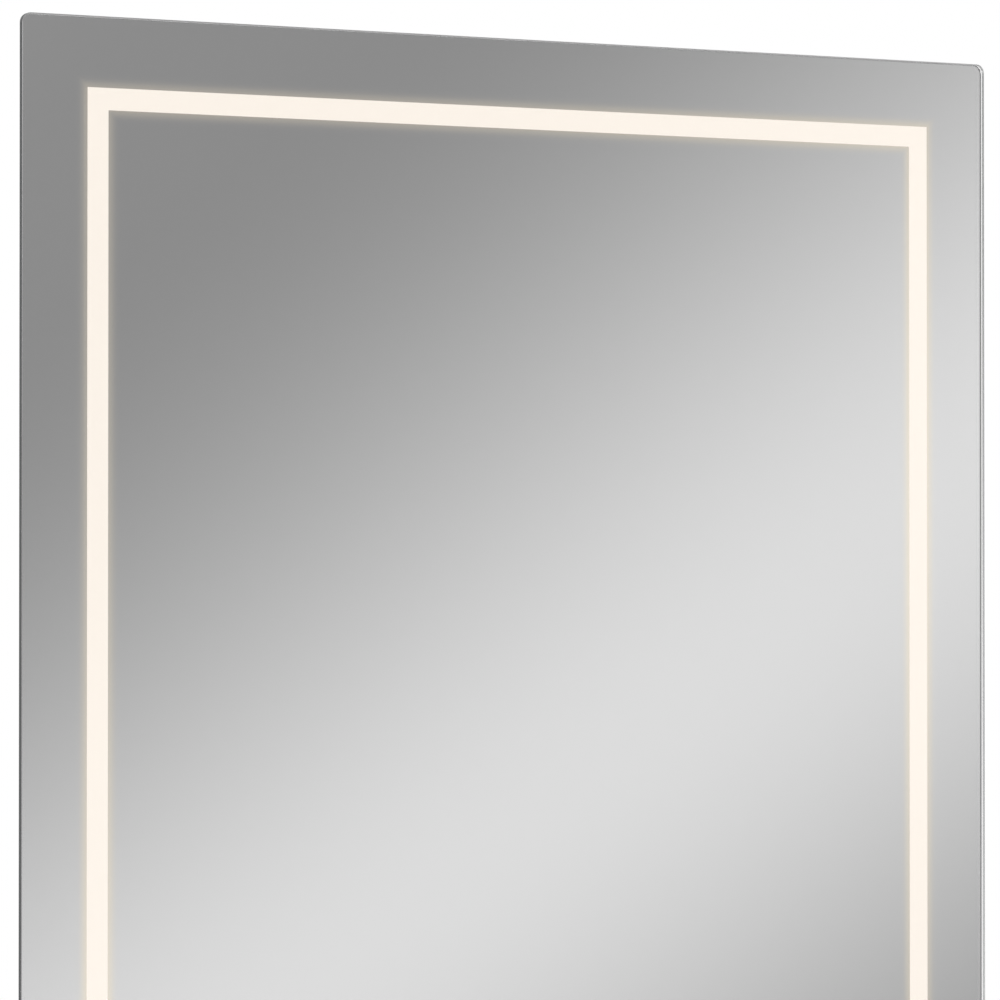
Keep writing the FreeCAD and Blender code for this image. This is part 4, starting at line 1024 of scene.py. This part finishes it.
@dataclass(frozen=True)
class Grommet:
    """A moulded grommet along Y: a rounded flange outside, a neck in the cover and a barb
    inside, round an open bore."""

    bore: float = 4.5 * MM
    neck: float = 7.0 * MM
    barb: float = 1.5 * MM
    flange_tall: float = 1.5 * MM
    flange_round: float = 0.9 * MM
    mouth_round: float = 0.5 * MM
    cover: float = 2.0 * MM
    arc_rings: int = 9
    corners: int = 96

    def rings(self, low: Vector, high: Vector) -> np.ndarray:
        """The grommet's surface from the bore's mouth outward, round and back to the bore.

        Args:
            low: the lowest corner of its box.
            high: the highest corner of its box.

        Returns:
            Points, as 1 x rings x corners x 3.
        """
        centre = np.array([[(low.x + high.x) / 2, (low.z + high.z) / 2]])
        rim, wall = high.x - centre[0, 0], high.y
        seat = wall - self.flange_tall
        inside = seat - self.cover
        turn = np.linspace(0, math.pi / 2, self.arc_rings)
        mouth = self.mouth_round * np.stack([-np.cos(turn), np.sin(turn)], -1)
        mouth += (self.bore + self.mouth_round, wall - self.mouth_round)
        flange = self.flange_round * np.stack([np.sin(turn), np.cos(turn)], -1)
        flange += (rim - self.flange_round, wall - self.flange_round)
        profile = np.concatenate([
            mouth,
            flange,
            [(rim, seat), (self.neck, seat), (self.neck, inside)],
            [(self.neck + self.barb, inside), (self.neck, low.y), (self.bore, low.y)],
        ])
        return turned(profile, centre, self.corners)


# ---------------------------------------------------------------- the mirror's sub-assemblies


class SubAssembly:
    """Pieces that are dressed together and belong to one body."""

    body: ClassVar[str] = "mirror"

    def dress(self, finish: Finish, *nodes: str) -> None:
        """Give CAD nodes their finish.

        Args:
            finish: what they are made of.
            nodes: the nodes' names.
        """
        for node in nodes:
            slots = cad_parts[node].data.materials
            slots.clear()
            slots.append(finish.material())
            log.info("%s, on %s: %s", node, self.body, finish.name)

    def stand_for(
        self, piece: bpy.types.Object, node: str, finish: Finish, slot: str
    ) -> None:
        """Let a new piece take a node's place.

        Args:
            piece: the new piece.
            node: the node that it replaces.
            finish: what it is made of.
            slot: not used.
        """
        piece.data.materials.append(finish.material())
        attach(piece, self.body)
        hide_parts(node)
        log.info("%s: new piece for %s, %d faces", piece.name, node, len(piece.data.polygons))


@dataclass
class Pane(SubAssembly):
    """The glass, what is on its back and the lacquer on its rim. Glass and silvering take
    their sizes from the nodes."""

    def build(self) -> None:
        """Dress the pane from front to back."""
        low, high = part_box("mirror_glass")
        middle = (low.z + high.z) / 2
        glass = FloatGlass(
            "float_glass", "#FEFEFE", 0.0, ior=1.52,
            half_width=high.x, half_height=(high.z - low.z) / 2, middle=middle,
        )
        band_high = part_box("light_band")[1]
        field_low, field_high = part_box("silver_field")
        half_band = (band_high.x - field_high.x) / 2
        # silvering with a painted halo of warm tint and glow beside the lit band
        silver = Silvering(
            "wet_silvering_painted_halo", "#FBFBFB", 0.0, metallic=1.0,
            half_width=field_high.x + half_band,
            half_height=(field_high.z - field_low.z) / 2 + half_band,
            middle=middle, half_band=half_band,
        )
        self.dress(glass, "mirror_glass")
        self.dress(silver, "silver_border", "silver_field")
        self.dress(PRINT, "light_band")
        self.dress(RIM, "edge_seal")
        self.dress(FILM, "film_border", "film_field")
        self.dress(TAPE, "bonding_tape_outer", "bonding_tape_inner")


@dataclass
class LightFrame(SubAssembly):
    """The mitred profile with its diffusers, light strips, corner keys and grub screws."""

    grub_screw: GrubScrew = GrubScrew()

    def build(self) -> None:
        """Dress the four sides and the corners, and model the grub screws, whose sockets
        show in the back of the profile."""
        for side, finish in (
            ("top", LEVEL_PROFILE), ("bottom", LEVEL_PROFILE),
            ("left", UPRIGHT_PROFILE), ("right", UPRIGHT_PROFILE),
        ):
            self.dress(finish, f"chassis_{side}")
            self.dress(OPAL, f"diffuser_{side}")
            self.dress(SOLDER_MASK, f"led_strip_{side}")
        self.dress(SOLDER_MASK, "corner_boards")
        self.dress(SAWN_KEY, "corner_keys")
        rings = self.grub_screw.rings(*islands("corner_key_screws"))
        piece = ring_surface("grub_screws", rings, Ends.POLES)
        self.stand_for(piece, "corner_key_screws", ZINC, "zinc_steel")


@dataclass
class BackPanel(SubAssembly):
    """The powder-coated sheet with its gasket and its screws."""

    screw: PanScrew = PanScrew()

    def build(self) -> None:
        """Dress the sheet and model the screws of the panel, the cover and the driver."""
        self.dress(COAT, "rear_panel")
        self.dress(GASKET, "panel_gasket")
        for node, name in (
            ("rear_panel_screws", "panel_screws"),
            ("cover_screws", "box_cover_screws"),
            ("driver_screws", "driver_lug_screws"),
        ):
            piece = ring_surface(name, self.screw.rings(*islands(node)), Ends.POLES)
            self.stand_for(piece, node, ZINC, "zinc_steel")


@dataclass
class Hanger(SubAssembly):
    """The hooked rail on the mirror, its rivets and the wall bumpers."""

    rivet: BlindRivet = BlindRivet()
    bumper: Bumper = Bumper()
    # bumpers are smaller than this across, and further apart
    bumper_reach: float = 30 * MM

    def build(self) -> None:
        """Dress the rail, and model the rivets and the bumpers."""
        self.dress(MILL, "hanger_rail")
        rings = self.rivet.rings(*islands("hanger_rivets"))
        piece = ring_surface("blind_rivets", rings, Ends.POLES)
        self.stand_for(piece, "hanger_rivets", MILL, "rail_aluminium")
        rings = self.bumper.rings(*islands("wall_bumpers", self.bumper_reach))
        piece = ring_surface("silicone_bumpers", rings, Ends.POLES)
        self.stand_for(piece, "wall_bumpers", SILICONE, "bumper_silicone")


@dataclass
class WallRail(SubAssembly):
    """The rail that stays on the wall."""

    body: ClassVar[str] = "wall_side"

    def build(self) -> None:
        """Dress the rail."""
        self.dress(MILL, "wall_rail")


@dataclass
class Wiring(SubAssembly):
    """The box through the panel, and what it and the driver hold and feed."""

    grommet: Grommet = Grommet()

    def build(self) -> None:
        """Dress the electrical pieces and model the grommet."""
        self.dress(BOX, "terminal_box", "terminal_cover")
        self.dress(NYLON, "terminal_block", "cable_clips")
        self.dress(CASE, "led_driver")
        self.dress(ZINC, "earth_stud")
        self.dress(MAINS, "mains_lead")
        self.dress(FEED, "led_lead")
        self.dress(EARTH, "earth_lead")
        rings = self.grommet.rings(*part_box("cable_grommet"))
        piece = ring_surface("entry_grommet", rings, Ends.LOOP)
        self.stand_for(piece, "cable_grommet", RUBBER, "grommet_rubber")


# ---------------------------------------------------------------- the studio


@dataclass(frozen=True)
class Lamp:
    """A square area lamp that faces the middle of the mirror."""

    name: str
    place: Triple
    watts: float
    side: float = 1.6


@dataclass
class Studio:
    """Pale floor, soft lamps, the room that the mirror shows, and the camera.

    The mirror shows a plain room in neutral greys, crossed by three broad soft bands of
    light: a middle one and a wider one on each side of it. They lie square to one direction,
    and brightness falls from each band's middle to grey.
    """

    # the floor: how far below the mirror, its rim, the share of it where the rings start
    floor_gap: float = 0.35
    floor_radius: float = 2.6
    floor_start: float = 0.5
    floor_thick: float = 0.01
    floor_corners: int = 96
    # the direction across the light bands, how far along it the middle band lies, how far
    # its light reaches from there, and the same for the bands beside it, from the middle one
    across: Triple = (0.5659, 0.2649, -0.7808)
    crest: float = 0.0582
    reach: float = 0.154
    side_crest: float = 0.45
    side_reach: float = 0.27
    # greys of the room, in sRGB shares, and the curve to linear light
    room_grey: float = 0.5451
    band_grey: float = 0.8549
    curve: float = 2.25
    # a mirror gives back a little less than it gets
    gain: float = 1.08
    # to this share on both sides of the pane's plane, the room turns to white
    blend: float = 0.15
    soft_light: float = 0.55
    lamps: tuple[Lamp, ...] = (
        Lamp("key_lamp", (-1.9, -2.2, 2.2), 46.0),
        Lamp("fill_lamp", (2.3, -1.7, 1.9), 26.0),
        Lamp("back_lamp_left", (2.0, 2.2, 2.0), 42.0),
        Lamp("back_lamp_right", (-2.2, 2.0, 1.6), 24.0),
    )
    # the camera's place, its turns in degrees, and lens and sensor in millimetres
    camera_place: Triple = (-1.13257, -2.32854, -0.18899)
    camera_yaw: float = 25.949
    camera_pitch: float = 0.692
    camera_lens: float = 164.29
    camera_sensor: float = 36.0

    def build(self) -> None:
        """Make the whole studio."""
        self.lay_floor()
        self.light_world()
        self.hang_lamps()
        self.set_camera()
        bpy.context.scene.view_settings.view_transform = "Standard"

    def lay_floor(self) -> None:
        """A flat round floor below the mirror, which itself doesn't show it.

        Point (i, k) lies at a radius that grows with i, the k-th part of a full turn round.
        """
        level = cad_box[0].z - self.floor_gap
        radius = np.array([self.floor_start, 1.0])[:, None] * self.floor_radius
        turn = np.linspace(0, 2 * np.pi, self.floor_corners, endpoint=False)
        top = np.stack(
            [radius * np.cos(turn), radius * np.sin(turn), 0 * radius * turn + level], -1
        )
        under = top[::-1] - np.array([0, 0, self.floor_thick])
        piece = ring_surface("studio_floor", np.concatenate([top, under])[None], Ends.POLES)
        piece.data.materials.append(FLOOR.material())
        piece.visible_glossy = piece.visible_transmission = False
        log.info("studio floor at %.3f m", level)

    def light_world(self) -> None:
        """White behind the object, plain soft light on it, and the grey room in mirrors."""
        made = bpy.data.worlds.new("studio_world")
        bpy.context.scene.world = made
        made.use_nodes = True
        tree = made.node_tree
        tree.nodes.clear()
        way = add(tree, "TexCoord").outputs["Generated"]
        room = add(
            tree, "Background", {"Color": self.room_light(tree, way), "Strength": self.gain}
        ).outputs[0]
        depth = add(tree, "SeparateXYZ", {0: way}).outputs["Y"]
        behind = add(
            tree, "MapRange", {"Value": depth, "From Min": -self.blend, "From Max": self.blend}
        ).outputs["Result"]
        soft, white = (
            add(tree, "Background", {"Color": linear("#FFFFFF"), "Strength": level}).outputs[0]
            for level in (self.soft_light, 1.0)
        )
        path = add(tree, "LightPath").outputs
        mirrored = add(
            tree, "Math", {0: path["Is Glossy Ray"], 1: path["Is Transmission Ray"]},
            operation="MAXIMUM",
        ).outputs[0]
        seen = add(tree, "MixShader", {0: behind, 1: room, 2: white}).outputs[0]
        lit = add(tree, "MixShader", {0: mirrored, 1: soft, 2: seen}).outputs[0]
        shown = add(tree, "MixShader", {0: path["Is Camera Ray"], 1: lit, 2: white}).outputs[0]
        add(tree, "OutputWorld", {"Surface": shown})

    def room_light(
        self, tree: bpy.types.NodeTree, way: bpy.types.NodeSocket
    ) -> bpy.types.NodeSocket:
        """How bright the room is in a direction.

        The offset is how far the direction lies along the bands' line from the middle
        band's crest. The gap to the nearest band is the smaller of |offset| over the middle
        band's reach and ||offset| - side crest| over the side bands' reach.

        Args:
            tree: the world's nodes.
            way: the direction.

        Returns:
            Linear light, before the mirror's gain.
        """
        along = add(
            tree, "VectorMath", {0: way, 1: self.across}, operation="DOT_PRODUCT"
        ).outputs["Value"]
        offset = add(tree, "Math", {0: along, 1: self.crest}, operation="SUBTRACT").outputs[0]
        size = add(tree, "Math", {0: offset}, operation="ABSOLUTE").outputs[0]
        near = add(tree, "Math", {0: size, 1: self.reach}, operation="DIVIDE").outputs[0]
        past = add(tree, "Math", {0: size, 1: self.side_crest}, operation="SUBTRACT").outputs[0]
        beside = add(tree, "Math", {0: past}, operation="ABSOLUTE").outputs[0]
        side = add(tree, "Math", {0: beside, 1: self.side_reach}, operation="DIVIDE").outputs[0]
        gap = add(tree, "Math", {0: near, 1: side}, operation="MINIMUM").outputs[0]
        ends = {"Value": gap, "To Min": self.band_grey, "To Max": self.room_grey}
        grey = add(
            tree, "MapRange", ends, interpolation_type="SMOOTHSTEP"
        ).outputs["Result"]
        return add(tree, "Math", {0: grey, 1: self.curve}, operation="POWER").outputs[0]

    def hang_lamps(self) -> None:
        """Four large square lamps, high up, two in front and two behind."""
        target = (cad_box[0] + cad_box[1]) / 2
        for lamp in self.lamps:
            data = bpy.data.lights.new(lamp.name, "AREA")
            data.shape, data.size, data.energy = "SQUARE", lamp.side, lamp.watts
            made = bpy.data.objects.new(lamp.name, data)
            bpy.context.scene.collection.objects.link(made)
            made.location = lamp.place
            facing = target - Vector(lamp.place)
            made.rotation_euler = facing.to_track_quat("-Z", "Y").to_euler()

    def set_camera(self) -> None:
        """The photograph's view: from the left, level with the upper part of the pane."""
        data = bpy.data.cameras.new("photo_camera")
        data.sensor_width = self.camera_sensor
        data.lens = self.camera_lens
        made = bpy.data.objects.new("photo_camera", data)
        bpy.context.scene.collection.objects.link(made)
        made.location = self.camera_place
        pitch, yaw = math.radians(90 + self.camera_pitch), math.radians(-self.camera_yaw)
        made.rotation_euler = Euler((pitch, 0, yaw))
        bpy.context.scene.camera = made


def main() -> None:
    """Build the mirror from the pane back to the wall, then the studio round it."""
    logging.basicConfig(level=logging.INFO, format="%(message)s")
    for part in (Pane(), LightFrame(), BackPanel(), Hanger(), WallRail(), Wiring(), Studio()):
        log.info("-- %s", type(part).__name__)
        part.build()


if __name__ == "__main__":
    main()
